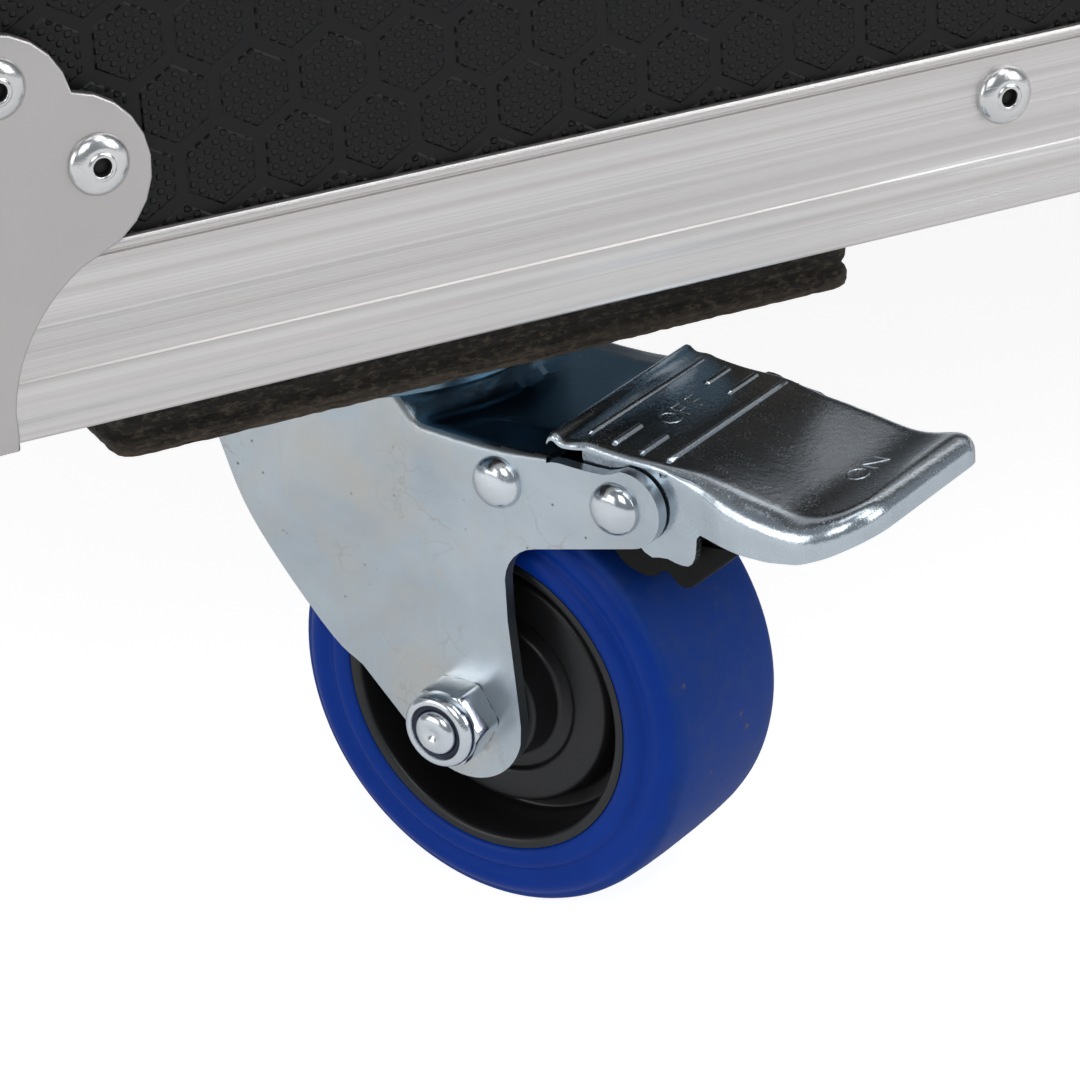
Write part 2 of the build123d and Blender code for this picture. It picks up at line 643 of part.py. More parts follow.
def hinge_pin(x):
    py = DEPTH + HINGE_OUT
    a, b = x - HINGE_W / 2, x + HINGE_W / 2
    return fuse(cyl(2.5, (a - 1.0, py, BASE_H), (b + 1.0, py, BASE_H)),
                cyl(3.4, (a - 2.2, py, BASE_H), (a - 0.2, py, BASE_H)), cyl(3.4, (b + 0.2, py, BASE_H), (b + 2.2, py, BASE_H)))


write("hinge_pins", [hinge_pin(x) for x in HINGE_X])


# ------------------------------------------------------------------ castors
# Castor frame: swivel axis at the origin, ground at z = 0, the fork trails
# towards +X, the axle runs along Y. The nut is on the -Y side.
XZ = Plane(origin=(0, 0, 0), x_dir=(1, 0, 0), z_dir=(0, -1, 0))


def side_plate(braked):
    low = [Line((-19.0, ROOF_Z), (-17.7, 82.4)), Spline([(-17.7, 82.4), (-13.2, 70.7), (-6.3, 60.4), (4.0, 48.5), (10.1, 44.3)]),
           Line((10.1, 44.3), (21.2, 32.7)), ThreePointArc((21.2, 32.7), (31.0, 27.8), (41.7, 34.3)),
           Line((41.7, 34.3), (42.9, 40.0)), Line((42.9, 40.0), (41.6, 60.0))]
    if braked:
        low += [Line((41.6, 60.0), (41.6, 66.0)), ThreePointArc((41.6, 66.0), (43.2, 71.8), (48.0, 74.8)),
                Line((48.0, 74.8), (67.9, 79.2)), ThreePointArc((67.9, 79.2), (73.4, 86.4), (66.2, 93.2)),
                Line((66.2, 93.2), (60.0, 92.2)), Line((60.0, 92.2), (51.5, 92.6)), Line((51.5, 92.6), (51.5, ROOF_Z)),
                Line((51.5, ROOF_Z), (-19.0, ROOF_Z))]
    else:
        low += [Line((41.6, 60.0), (41.6, 76.0)), ThreePointArc((41.6, 76.0), (38.0, 86.0), (31.0, ROOF_Z)),
                Line((31.0, ROOF_Z), (-19.0, ROOF_Z))]
    return make_face(low)


def fork(braked):
    f = side_plate(braked)
    front_x = 51.5 if braked else 31.0
    sides = []
    for y0 in (-FORK_OUT, FORK_OUT - FORK_T):
        sides.append(extrude(XZ.location * f, amount=FORK_T).moved(Location((0, y0 + FORK_T, 0))))
    roof = bx(-19.0, front_x, -FORK_OUT, FORK_OUT, ROOF_Z - 3, ROOF_Z)
    disc = cyl(30.5, (0, 0, ROOF_Z - 3), (0, 0, ROOF_Z))
    cup = cyl(30.5, (0, 0, ROOF_Z - 0.5), (0, 0, 99.2)) - cyl(27.5, (0, 0, ROOF_Z - 1), (0, 0, 100))
    out = fuse(sides[0], sides[1], roof, disc, cup)
    out = out - cyl(6 + RUN_FIT, (0, 0, 80), (0, 0, 110))
    out = out - cyl(AXLE_R + RUN_FIT, (TRAIL, -40, WHEEL_R), (TRAIL, 40, WHEEL_R))
    if braked:
        for x, z in ((A_X, A_Z), (B_X, B_Z)):
            out = out - cyl(PIN_R + 0.05, (x, -40, z), (x, 40, z))
    return out


def ring_turned(pts):
    """Profile of (radius, axial) points turned round the axle."""
    f = make_face(Polyline(*[(r, y) for r, y in pts], close=True))
    return revolve(f, Axis.Y).moved(Location((TRAIL, 0, WHEEL_R)))


def tyre():
    half = [(HUB_R, HUB_HALF), (31.0, 17.2), (34.0, 17.1), (36.2, 16.8), (37.8, 16.2), (39.0, 15.4), (39.6, 14.4), (39.85, 10.0), (WHEEL_R, 4.0)]
    pts = half + [(r, -y) for r, y in reversed(half)]
    return ring_turned(pts)


def hub():
    half = [(SLEEVE_R + RUN_FIT, 19.6), (9.5, 19.6), (11.6, 18.2), (12.2, 12.0), (15.0, 11.4), (15.6, 12.6), (21.4, 12.0), (22.2, 10.6),
            (22.8, 6.0), (26.0, 5.4), (26.7, 16.4), (27.2, HUB_HALF), (HUB_R, HUB_HALF)]
    pts = half + [(r, -y) for r, y in reversed(half)]
    return ring_turned(pts)


def axle_set():
    """Axle bolt, its spacer tube and the lock nut on the -Y side."""
    x, z = TRAIL, WHEEL_R
    bolt = cyl(AXLE_R, (x, -32.6, z), (x, 23.4, z))
    bolt = chamfer(bolt.faces().sort_by(Axis.Y)[0].edges(), 0.8)
    hexh = extrude(Plane(origin=(x, 23.0, z), x_dir=(1, 0, 0), z_dir=(0, 1, 0)).location * RegularPolygon(7.5, 6), amount=5.3)
    hexh = hexh & (Sphere(13.0).moved(Location((x, 16.6, z))))
    tube = cyl(SLEEVE_R, (x, -20.5, z), (x, 20.5, z)) - cyl(AXLE_R + 0.1, (x, -30, z), (x, 30, z))
    nut = extrude(Plane(origin=(x, -23.0, z), x_dir=(1, 0, 0), z_dir=(0, -1, 0)).location * RegularPolygon(7.5, 6), amount=6.6)
    nut = nut & (Sphere(12.2).moved(Location((x, -19.4, z))))
    collar = cyl(6.2, (x, -31.6, z), (x, -28.8, z))
    collar = fillet(collar.faces().sort_by(Axis.Y)[0].edges(), 1.2)
    nut = (nut + collar) - cyl(AXLE_R + 0.05, (x, -40, z), (x, -20, z))
    return [bolt + hexh, tube, nut]


def pivot_rivets():
    out = []
    for x, z in ((A_X, A_Z), (B_X, B_Z)):
        p = cyl(PIN_R, (x, -FORK_OUT - 1, z), (x, FORK_OUT + 1, z))
        for s in (-1, 1):
            y0, y1 = sorted((s * FORK_OUT, s * (FORK_OUT + 3)))
            dome = Sphere(4.9).moved(Location((x, s * (FORK_OUT - 2.3), z))) & bx(x - 6, x + 6, y0, y1, z - 6, z + 6)
            p = p + dome
        out.append(p)
    return out


# pedal: top line, lower line of its turned-down rim
TOP = [(50.4, 95.6), (52.2, 96.6), (54.4, 95.2), (58.5, 96.2), (69.0, 96.0), (80.0, 95.2), (85.0, 94.0), (89.0, 92.0), (92.5, 90.2),
       (96.5, 89.3), (101.0, 89.9), (106.0, 91.5), (112.0, 93.8)]
RIM = [(112.0, 88.8), (106.0, 85.6), (100.0, 83.0), (94.5, 81.9), (88.5, 82.0), (83.0, 82.8), (79.0, 83.4), (78.4, 79.6), (77.6, 77.4),
       (75.6, 76.7), (72.8, 77.3), (69.8, 76.9), (67.2, 78.6), (62.0, 80.0), (58.5, 84.0), (57.4, 90.0), (56.6, 93.0)]
PED_T = 1.9


def pedal():
    tip_w, rear_w, fl_w = 24.6, 22.4, FORK_OUT - FORK_T - 0.4
    # full-width top sheet
    sheet = make_face(Polyline(*(TOP + [(x, z - PED_T) for x, z in reversed(TOP)]), close=True))
    sheet = extrude(XZ.location * sheet, amount=30, both=True)
    plan = [(50.0, -rear_w), (80.0, -rear_w), (90.0, -tip_w), (103.0, -tip_w), (109.0, -22.0), (112.0, -16.0), (112.0, 16.0), (109.0, 22.0),
            (103.0, tip_w), (90.0, tip_w), (80.0, rear_w), (50.0, rear_w)]
    sheet = sheet & prism(plan, Plane.XY, 200)
    # rim of the tip, turned down all round
    body = make_face(Polyline(*(TOP[5:] + RIM[:7] + [(79.0, 90.0)]), close=True))
    body = extrude(XZ.location * body, amount=30, both=True)
    tip_plan = [(78.5, -fl_w), (82.5, -rear_w), (90.0, -tip_w), (103.0, -tip_w), (109.0, -22.0), (112.0, -16.0), (112.0, 16.0),
                (109.0, 22.0), (103.0, tip_w), (90.0, tip_w), (82.5, rear_w), (78.5, fl_w)]
    t = PED_T
    in_plan = [(70.0, -(fl_w - t)), (80.0, -(fl_w - t)), (83.5, -(rear_w - t)), (91.0, -(tip_w - t)), (102.5, -(tip_w - t)), (107.4, -20.7),
               (110.0, -15.2), (110.0, 15.2), (107.4, 20.7), (102.5, tip_w - t), (91.0, tip_w - t), (83.5, rear_w - t), (80.0, fl_w - t), (70.0, fl_w - t)]
    body = (body & prism(tip_plan, Plane.XY, 200)) - prism(in_plan, Plane.XY, 200)
    # side cheeks between the fork arms
    cheek = make_face(Polyline(*([(79.6, 94.6), (79.6, 83.4)] + RIM[6:] + [(56.6, 94.6)]), close=True))
    cheeks = []
    for y0 in (-fl_w, fl_w - 1.8):
        c = extrude(XZ.location * cheek, amount=1.8).moved(Location((0, y0 + 1.8, 0)))
        cheeks.append(c)
    out = fuse(sheet, body, cheeks[0], cheeks[1])
    return out - cyl(PIN_R + RUN_FIT, (B_X, -40, B_Z), (B_X, 40, B_Z))


def brake_shoe():
    """Lever on the rear pivot with a pad above the tread."""
    w = 16.0
    hubr = cyl(4.4, (A_X, -18.0, A_Z), (A_X, 18.0, A_Z))
    pad_out, pad_in = 48.2, 43.0
    f = make_face([Line((TRAIL + pad_in * math.cos(math.radians(38)), WHEEL_R + pad_in * math.sin(math.radians(38))),
                        (TRAIL + pad_out * math.cos(math.radians(38)), WHEEL_R + pad_out * math.sin(math.radians(38)))),
                   ThreePointArc((TRAIL + pad_out * math.cos(math.radians(38)), WHEEL_R + pad_out * math.sin(math.radians(38))),
                                 (TRAIL + pad_out * math.cos(math.radians(58)), WHEEL_R + pad_out * math.sin(math.radians(58))),
                                 (TRAIL + pad_out * math.cos(math.radians(78)), WHEEL_R + pad_out * math.sin(math.radians(78)))),
                   Line((TRAIL + pad_out * math.cos(math.radians(78)), WHEEL_R + pad_out * math.sin(math.radians(78))),
                        (TRAIL + pad_in * math.cos(math.radians(78)), WHEEL_R + pad_in * math.sin(math.radians(78)))),
                   ThreePointArc((TRAIL + pad_in * math.cos(math.radians(78)), WHEEL_R + pad_in * math.sin(math.radians(78))),
                                 (TRAIL + pad_in * math.cos(math.radians(58)), WHEEL_R + pad_in * math.sin(math.radians(58))),
                                 (TRAIL + pad_in * math.cos(math.radians(38)), WHEEL_R + pad_in * math.sin(math.radians(38))))])
    pad = extrude(XZ.location * f, amount=w, both=True)
    out = hubr + pad
    return out - cyl(PIN_R + RUN_FIT, (A_X, -40, A_Z), (A_X, 40, A_Z))


FORKS = {True: fork(True), False: fork(False)}
TYRE, HUB, AXLE = tyre(), hub(), axle_set()
PEDAL, SHOE, PIVOTS = pedal(), brake_shoe(), pivot_rivets()
for name, x, y in quadrants():
    loc = Location((x - LENGTH / 2, y - Y_CENTRE, 0), (0, 0, SWING[name]))
    braked = name.startswith("front")
    write(name + "_fork", FORKS[braked], loc)
    write(name + "_tyre", TYRE, loc)
    write(name + "_hub", HUB, loc)
    write(name + "_axle_set", AXLE, loc)
    if braked:
        write(name + "_pedal", PEDAL, loc)
        write(name + "_brake_shoe", SHOE, loc)
        write(name + "_pivot_rivets", PIVOTS, loc)
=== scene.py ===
import json
import math

import bmesh
import bpy
import numpy as np
from mathutils import Matrix, Vector

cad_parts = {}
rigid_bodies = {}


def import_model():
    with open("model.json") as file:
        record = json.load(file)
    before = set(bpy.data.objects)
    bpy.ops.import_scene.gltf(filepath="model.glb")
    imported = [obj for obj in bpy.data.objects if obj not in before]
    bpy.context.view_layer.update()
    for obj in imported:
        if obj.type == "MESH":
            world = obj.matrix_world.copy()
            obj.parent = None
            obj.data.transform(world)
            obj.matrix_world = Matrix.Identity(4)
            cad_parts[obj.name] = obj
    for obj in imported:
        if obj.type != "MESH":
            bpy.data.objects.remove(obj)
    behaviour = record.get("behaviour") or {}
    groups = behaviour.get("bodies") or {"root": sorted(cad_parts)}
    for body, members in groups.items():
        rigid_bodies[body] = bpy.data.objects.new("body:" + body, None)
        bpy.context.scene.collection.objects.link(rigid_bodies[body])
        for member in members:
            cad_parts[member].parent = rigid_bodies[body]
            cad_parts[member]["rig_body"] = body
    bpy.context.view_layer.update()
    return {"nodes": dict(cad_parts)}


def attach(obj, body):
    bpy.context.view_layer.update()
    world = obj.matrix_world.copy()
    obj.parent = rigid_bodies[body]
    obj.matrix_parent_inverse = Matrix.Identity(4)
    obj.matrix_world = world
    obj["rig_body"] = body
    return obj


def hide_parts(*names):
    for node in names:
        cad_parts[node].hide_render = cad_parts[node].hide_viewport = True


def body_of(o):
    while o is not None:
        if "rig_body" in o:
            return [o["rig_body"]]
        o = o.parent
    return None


# Flight case for lighting fixtures. Lengths below are millimetres in the case's
# own corner frame (x from the left face, y from the front face, z from the case
# bottom) or in a castor's frame; M_CASE and castor() bring them to the row frame.
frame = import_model()
NODES = frame["nodes"]

LENGTH, DEPTH, BASE_H, H = 800.0, 560.0, 380.0, 560.0
CASE_Z, Y_CENTRE = 119.6, 263.61
M_CASE = Matrix.Translation((-LENGTH / 2000, -Y_CENTRE / 1000, CASE_Z / 1000)) @ Matrix.Scale(0.001, 4)
SWIVEL_X, SWIVEL_Y = 127.25, 63.0
SWING = {"front_left": -59.655, "front_right": -120.345, "rear_left": 118.0, "rear_right": 64.0}
CASTORS = {"front_left": (SWIVEL_X, SWIVEL_Y), "front_right": (LENGTH - SWIVEL_X, SWIVEL_Y),
           "rear_left": (SWIVEL_X, DEPTH - SWIVEL_Y), "rear_right": (LENGTH - SWIVEL_X, DEPTH - SWIVEL_Y)}
TRAIL, WHEEL_R = 31.0, 40.0


def castor(name):
    x, y = CASTORS[name]
    return (Matrix.Translation(((x - LENGTH / 2) / 1000, (y - Y_CENTRE) / 1000, 0))
            @ Matrix.Rotation(math.radians(SWING[name]), 4, "Z") @ Matrix.Scale(0.001, 4))


# ---------------------------------------------------------------- node graphs
class Graph:
    """A small hand for building a material's nodes."""

    def __init__(self, name, **sockets):
        self.mat = bpy.data.materials.new(name)
        self.mat.use_nodes = True
        self.tree = self.mat.node_tree
        self.tree.nodes.clear()
        self.out = self.add("ShaderNodeOutputMaterial")
        self.bsdf = self.add("ShaderNodeBsdfPrincipled")
        self.tree.links.new(self.bsdf.outputs[0], self.out.inputs[0])
        for k, v in sockets.items():
            self.bsdf.inputs[k.replace("_", " ")].default_value = v
        self.coord = None

    def add(self, kind, **props):
        n = self.tree.nodes.new(kind)
        for k, v in props.items():
            setattr(n, k, v)
        return n

    def put(self, socket, value):
        if isinstance(value, bpy.types.NodeSocket):
            self.tree.links.new(value, socket)
        elif isinstance(value, (tuple, list)) and len(value) == 3 and socket.type == "RGBA":
            socket.default_value = (*value, 1)
        else:
            socket.default_value = value

    def obj(self):
        if self.coord is None:
            self.coord = self.add("ShaderNodeTexCoord").outputs["Object"]
        return self.coord

    def attr(self, name, kind="Vector"):
        n = self.add("ShaderNodeAttribute")
        n.attribute_name = name
        return n.outputs[kind]

    def xyz(self, v):
        n = self.add("ShaderNodeSeparateXYZ")
        self.put(n.inputs[0], v)
        return n.outputs[0], n.outputs[1], n.outputs[2]

    def vec(self, x, y, z):
        n = self.add("ShaderNodeCombineXYZ")
        for s, v in zip(n.inputs, (x, y, z)):
            self.put(s, v)
        return n.outputs[0]

    def scaled(self, v, scale, loc=(0, 0, 0), rot=(0, 0, 0)):
        n = self.add("ShaderNodeMapping")
        self.put(n.inputs["Vector"], v)
        n.inputs["Scale"].default_value = scale
        n.inputs["Location"].default_value = loc
        n.inputs["Rotation"].default_value = rot
        return n.outputs[0]

    def noise(self, v, scale, detail=3.0, rough=0.5, warp=0.0):
        n = self.add("ShaderNodeTexNoise")
        self.put(n.inputs["Vector"], v)
        n.inputs["Scale"].default_value = scale
        n.inputs["Detail"].default_value = detail
        n.inputs["Roughness"].default_value = rough
        n.inputs["Distortion"].default_value = warp
        return n.outputs[0]

    def cells(self, v, scale, feature="F1", random=1.0, out="Distance"):
        n = self.add("ShaderNodeTexVoronoi", feature=feature)
        self.put(n.inputs["Vector"], v)
        n.inputs["Scale"].default_value = scale
        n.inputs["Randomness"].default_value = random
        return n.outputs[out]

    def math(self, op, a, b=None, c=None, clamp=False):
        n = self.add("ShaderNodeMath", operation=op, use_clamp=clamp)
        for s, v in zip(n.inputs, (a, b, c)):
            if v is not None:
                self.put(s, v)
        return n.outputs[0]

    def ramp(self, fac, stops, smooth=False):
        n = self.add("ShaderNodeValToRGB")
        self.put(n.inputs[0], fac)
        cr = n.color_ramp
        cr.interpolation = "EASE" if smooth else "LINEAR"
        while len(cr.elements) < len(stops):
            cr.elements.new(0.5)
        for e, (pos, col) in zip(cr.elements, stops):
            e.position = pos
            e.color = (col, col, col, 1) if isinstance(col, (int, float)) else (*col, 1)
        return n.outputs[0]

    def mix(self, fac, a, b, mode="MIX"):
        n = self.add("ShaderNodeMix", data_type="RGBA", blend_type=mode)
        self.put(n.inputs[0], fac)
        self.put(n.inputs[6], a)
        self.put(n.inputs[7], b)
        return n.outputs[2]

    def bump(self, height, strength=1.0, distance=0.001, normal=None):
        n = self.add("ShaderNodeBump")
        n.inputs["Strength"].default_value = strength
        n.inputs["Distance"].default_value = distance
        self.put(n.inputs["Height"], height)
        if normal is not None:
            self.put(n.inputs["Normal"], normal)
        return n.outputs[0]

    def set(self, **links):
        for k, v in links.items():
            self.put(self.bsdf.inputs[k.replace("_", " ")], v)
        return self.mat


def aluminium(axis):
    """Extruded edging: fine draw lines along its run, soft waves and a few scratches."""
    g = Graph("edging_aluminium_" + "xyz"[axis], Metallic=1.0)
    along = [1500.0] * 3
    along[axis] = 2.0
    fine = g.noise(g.scaled(g.obj(), tuple(along)), 1.6, 4, 0.7)
    band = [620.0] * 3
    band[axis] = 0.7
    bands = g.noise(g.scaled(g.obj(), tuple(band)), 1.0, 2, 0.5)
    streak = [420.0] * 3
    streak[axis] = 9.0
    marks = g.ramp(g.noise(g.scaled(g.obj(), tuple(streak)), 1.0, 2, 0.5), [(0.69, 0.0), (0.78, 1.0)])
    smudge = g.noise(g.obj(), 26.0, 4, 0.55)
    col = g.mix(g.ramp(bands, [(0.35, 0.0), (0.65, 1.0)]), (0.63, 0.60, 0.588), (0.735, 0.71, 0.698))
    col = g.mix(g.math("MULTIPLY", g.ramp(fine, [(0.46, 0.0), (0.66, 1.0)]), 0.45), col, (0.54, 0.52, 0.51))
    col = g.mix(g.math("MULTIPLY", marks, 0.7), col, (0.97, 0.97, 0.97))
    dirt = g.ramp(g.noise(g.obj(), 95.0, 5, 0.7), [(0.66, 0.0), (0.8, 0.35)])
    col = g.mix(dirt, col, (0.34, 0.32, 0.31))
    rough = g.math("MULTIPLY_ADD", smudge, 0.14, 0.24)
    rough = g.math("ADD", rough, g.math("MULTIPLY", fine, 0.10))
    n1 = g.bump(fine, 0.30, 0.0003)
    n2 = g.bump(bands, 0.14, 0.0004, n1)
    return g.set(Base_Color=col, Roughness=rough, Normal=n2)


def satin_steel():
    """Nickel-plated pressed steel of the corners, a fine satin with specks."""
    g = Graph("corner_steel", Metallic=1.0)
    cloud = g.noise(g.obj(), 14.0, 4, 0.6)
    grain = g.noise(g.obj(), 1500.0, 2, 0.6)
    specks = g.ramp(g.cells(g.obj(), 130.0), [(0.02, 1.0), (0.07, 0.0)])
    keep = g.ramp(g.noise(g.obj(), 60.0, 1), [(0.60, 0.0), (0.66, 1.0)])
    sp = g.math("MULTIPLY", specks, keep)
    col = g.mix(cloud, (0.50, 0.48, 0.47), (0.575, 0.555, 0.545))
    col = g.mix(g.math("MULTIPLY", sp, 0.7), col, (0.2, 0.2, 0.2))
    rough = g.math("MULTIPLY_ADD", grain, 0.12, 0.36)
    return g.set(Base_Color=col, Roughness=rough, Normal=g.bump(grain, 0.10, 0.0002))


def zinc(name, light, dark, rough_lo, rough_hi, stain=0.0, scratch=0.5, grain_scale=900.0, bump=0.12, specks=0.0):
    """Zinc plate: cloudy blue-white metal, hairline scratches and, where asked, brown stains."""
    g = Graph(name, Metallic=1.0)
    cloud = g.noise(g.obj(), 30.0, 6, 0.65, 0.4)
    fine = g.noise(g.obj(), grain_scale, 3, 0.6)
    col = g.mix(g.ramp(cloud, [(0.32, 0.0), (0.68, 1.0)]), dark, light)
    if stain:
        warm = g.ramp(g.noise(g.obj(), 26.0, 7, 0.62), [(0.46, 0.0), (0.64, 1.0)])
        col = g.mix(g.math("MULTIPLY", warm, stain * 0.85), col, (0.60, 0.55, 0.475))
        wv = g.add("ShaderNodeVectorMath", operation="MULTIPLY_ADD")
        jit = g.add("ShaderNodeTexNoise")
        g.put(jit.inputs["Vector"], g.obj())
        jit.inputs["Scale"].default_value = 120.0
        jit.inputs["Detail"].default_value = 4.0
        g.put(wv.inputs[0], jit.outputs["Color"])
        wv.inputs[1].default_value = (0.012, 0.012, 0.012)
        g.put(wv.inputs[2], g.obj())
        crack = g.ramp(g.cells(wv.outputs[0], 130.0, "DISTANCE_TO_EDGE"), [(0.0, 1.0), (0.03, 0.0)])
        crack = g.math("MULTIPLY", crack, g.ramp(g.noise(g.obj(), 48.0, 3), [(0.54, 0.0), (0.66, 0.8)]))
        dots = g.ramp(g.cells(g.obj(), 300.0), [(0.05, 1.0), (0.11, 0.0)])
        dots = g.math("MULTIPLY", dots, g.ramp(g.noise(g.obj(), 70.0, 2), [(0.50, 0.0), (0.58, 1.0)]))
        drag = g.ramp(g.noise(g.scaled(g.obj(), (300, 300, 35)), 1.0, 3, 0.6), [(0.62, 0.0), (0.76, 1.0)])
        col = g.mix(g.math("MULTIPLY", drag, stain * 0.4), col, (0.52, 0.49, 0.45))
        col = g.mix(g.math("MULTIPLY", crack, stain * 0.6), col, (0.36, 0.31, 0.26))
        col = g.mix(g.math("MULTIPLY", dots, stain), col, (0.16, 0.13, 0.11))
    hair = g.cells(g.scaled(g.obj(), (90, 700, 420), rot=(0.7, 0.4, 0.9)), 1.0, "DISTANCE_TO_EDGE")
    hair = g.ramp(hair, [(0.0, 1.0), (0.025, 0.0)])
    hair = g.math("MULTIPLY", hair, g.ramp(g.noise(g.obj(), 120.0, 2), [(0.5, 0.0), (0.62, scratch)]))
    rough = g.math("MULTIPLY_ADD", cloud, rough_hi - rough_lo, rough_lo)
    rough = g.math("ADD", rough, g.math("MULTIPLY", hair, 0.2))
    if specks:
        pits = g.ramp(g.cells(g.obj(), 1700.0), [(0.14, 1.0), (0.34, 0.0)])
        pits = g.math("MULTIPLY", pits, g.ramp(g.noise(g.obj(), 260.0, 2), [(0.44, 0.0), (0.62, 1.0)]))
        col = g.mix(g.math("MULTIPLY", pits, specks), col, (0.78, 0.80, 0.82))
        rough = g.math("ADD", rough, g.math("MULTIPLY", pits, 0.22))
    n = g.bump(fine, bump, 0.0002)
    n = g.bump(hair, 0.05, 0.0002, n)
    n = g.bump(g.noise(g.obj(), 75.0, 3, 0.5), 0.06, 0.0012, n)
    return g.set(Base_Color=col, Roughness=rough, Normal=n)


def laminate(name="laminate", pattern=True):
    """Phenolic film with pressed honeycomb patches, each filled with rows of small arched bumps."""
    g = Graph(name, Specular_IOR_Level=0.22)
    haze = g.noise(g.obj(), 18.0, 5, 0.6)
    grain = g.noise(g.obj(), 2600.0, 2, 0.6)
    n = g.bump(grain, 0.10, 0.0002)
    rough = g.math("MULTIPLY_ADD", haze, 0.14, 0.36)
    col = g.mix(haze, (0.0062, 0.0062, 0.0066), (0.0095, 0.0095, 0.0100))
    if pattern:
        u, v, inside = g.xyz(g.attr("weave"))
        wob = g.math("MULTIPLY", g.math("SUBTRACT", g.noise(g.obj(), 330.0, 1), 0.5), 0.9)
        a = g.math("COSINE", g.math("ADD", g.math("MULTIPLY", u, 2 * math.pi / 2.75), wob))
        b = g.math("COSINE", g.math("ADD", g.math("MULTIPLY", v, 2 * math.pi / 2.45), wob))
        lump = g.math("MULTIPLY", a, b)
        lump = g.ramp(g.math("MULTIPLY_ADD", lump, 0.5, 0.5), [(0.50, 0.0), (0.80, 1.0)], True)
        lump = g.math("MULTIPLY", lump, inside)
        n = g.bump(lump, 1.0, 0.00042, n)
        rough = g.math("ADD", rough, g.math("MULTIPLY", inside, 0.03))
        # painted highlight: the raised tops of the lumps are made lighter
        col = g.mix(g.math("MULTIPLY", lump, 0.35), col, (0.018, 0.018, 0.019))
    return g.set(Base_Color=col, Roughness=rough, Normal=n)


def board_wood():
    """Dark stained plywood block, fibrous on its sawn edges."""
    g = Graph("board_wood", Specular_IOR_Level=0.3)
    grain = g.noise(g.scaled(g.obj(), (110, 110, 1300)), 1.0, 6, 0.75, 0.6)
    chip = g.noise(g.scaled(g.obj(), (500, 500, 1000)), 1.0, 4, 0.7)
    col = g.mix(g.ramp(grain, [(0.35, 0.0), (0.75, 1.0)]), (0.0045, 0.004, 0.0035), (0.040, 0.033, 0.025))
    col = g.mix(g.ramp(chip, [(0.50, 0.0), (0.66, 0.85)]), col, (0.105, 0.084, 0.060))
    _, _, hz = g.xyz(g.obj())
    hz = g.math("ADD", g.math("MULTIPLY", hz, 1000.0), g.math("MULTIPLY", g.noise(g.obj(), 240.0, 3), 1.6))
    low = g.ramp(g.math("MULTIPLY_ADD", hz, -0.25, 110.2 * 0.25, clamp=True), [(0.0, 0.0), (0.7, 1.0)])
    col = g.mix(g.math("MULTIPLY", low, g.ramp(grain, [(0.36, 0.0), (0.58, 0.85)])), col, (0.115, 0.082, 0.056))
    n = g.bump(grain, 0.9, 0.0010)
    n = g.bump(chip, 0.8, 0.0008, n)
    return g.set(Base_Color=col, Roughness=g.math("MULTIPLY_ADD", chip, 0.25, 0.55), Normal=n)


def blue_rubber():
    """Solid blue elastic rubber; the tread is scuffed and dusty."""
    g = Graph("tyre_blue", Specular_IOR_Level=0.13)
    tread = g.attr("tread", "Fac")
    cloud = g.noise(g.obj(), 40.0, 5, 0.6)
    dust = g.noise(g.obj(), 190.0, 6, 0.75)
    spots = g.ramp(g.cells(g.obj(), 240.0), [(0.05, 1.0), (0.16, 0.0)])
    spots = g.math("MULTIPLY", spots, g.ramp(g.noise(g.obj(), 90.0, 2), [(0.53, 0.0), (0.60, 1.0)]))
    spots = g.math("MULTIPLY", spots, tread)
    side = g.mix(cloud, (0.0004, 0.023, 0.19), (0.0008, 0.040, 0.32))
    worn = g.mix(cloud, (0.0020, 0.030, 0.19), (0.0045, 0.042, 0.26))
    col = g.mix(tread, side, worn)
    col = g.mix(g.math("MULTIPLY", g.ramp(dust, [(0.46, 0.0), (0.72, 0.30)]), tread), col, (0.045, 0.062, 0.12))
    col = g.mix(g.math("MULTIPLY", spots, 0.8), col, (0.13, 0.10, 0.075))
    rough = g.math("MULTIPLY_ADD", tread, 0.16, 0.34)
    rough = g.math("ADD", rough, g.math("MULTIPLY", cloud, 0.08))
    n = g.bump(g.noise(g.obj(), 900.0, 3, 0.6), 0.12, 0.0003)
    n = g.bump(g.math("MULTIPLY", dust, tread), 0.2, 0.0004, n)
    return g.set(Base_Color=col, Roughness=rough, Normal=n)


def plastic(name, lo, hi, rough, bump=0.1, scale=700.0, level=0.45):
    g = Graph(name, Specular_IOR_Level=level)
    cloud = g.noise(g.obj(), 35.0, 4, 0.6)
    grain = g.noise(g.obj(), scale, 3, 0.6)
    return g.set(Base_Color=g.mix(cloud, lo, hi), Roughness=g.math("MULTIPLY_ADD", cloud, 0.12, rough), Normal=g.bump(grain, bump, 0.0003))


def foam_mat():
    """Open-cell charcoal foam."""
    g = Graph("foam", Specular_IOR_Level=0.15, Sheen_Weight=0.25, Sheen_Roughness=0.6)
    pores = g.cells(g.obj(), 620.0)
    blot = g.noise(g.obj(), 60.0, 4, 0.6)
    col = g.mix(g.ramp(pores, [(0.15, 0.0), (0.6, 1.0)]), (0.010, 0.010, 0.011), (0.040, 0.040, 0.043))
    col = g.mix(g.math("MULTIPLY", blot, 0.3), col, (0.055, 0.055, 0.06))
    return g.set(Base_Color=col, Roughness=g.math("MULTIPLY_ADD", blot, 0.1, 0.85), Normal=g.bump(pores, 0.8, 0.0007))


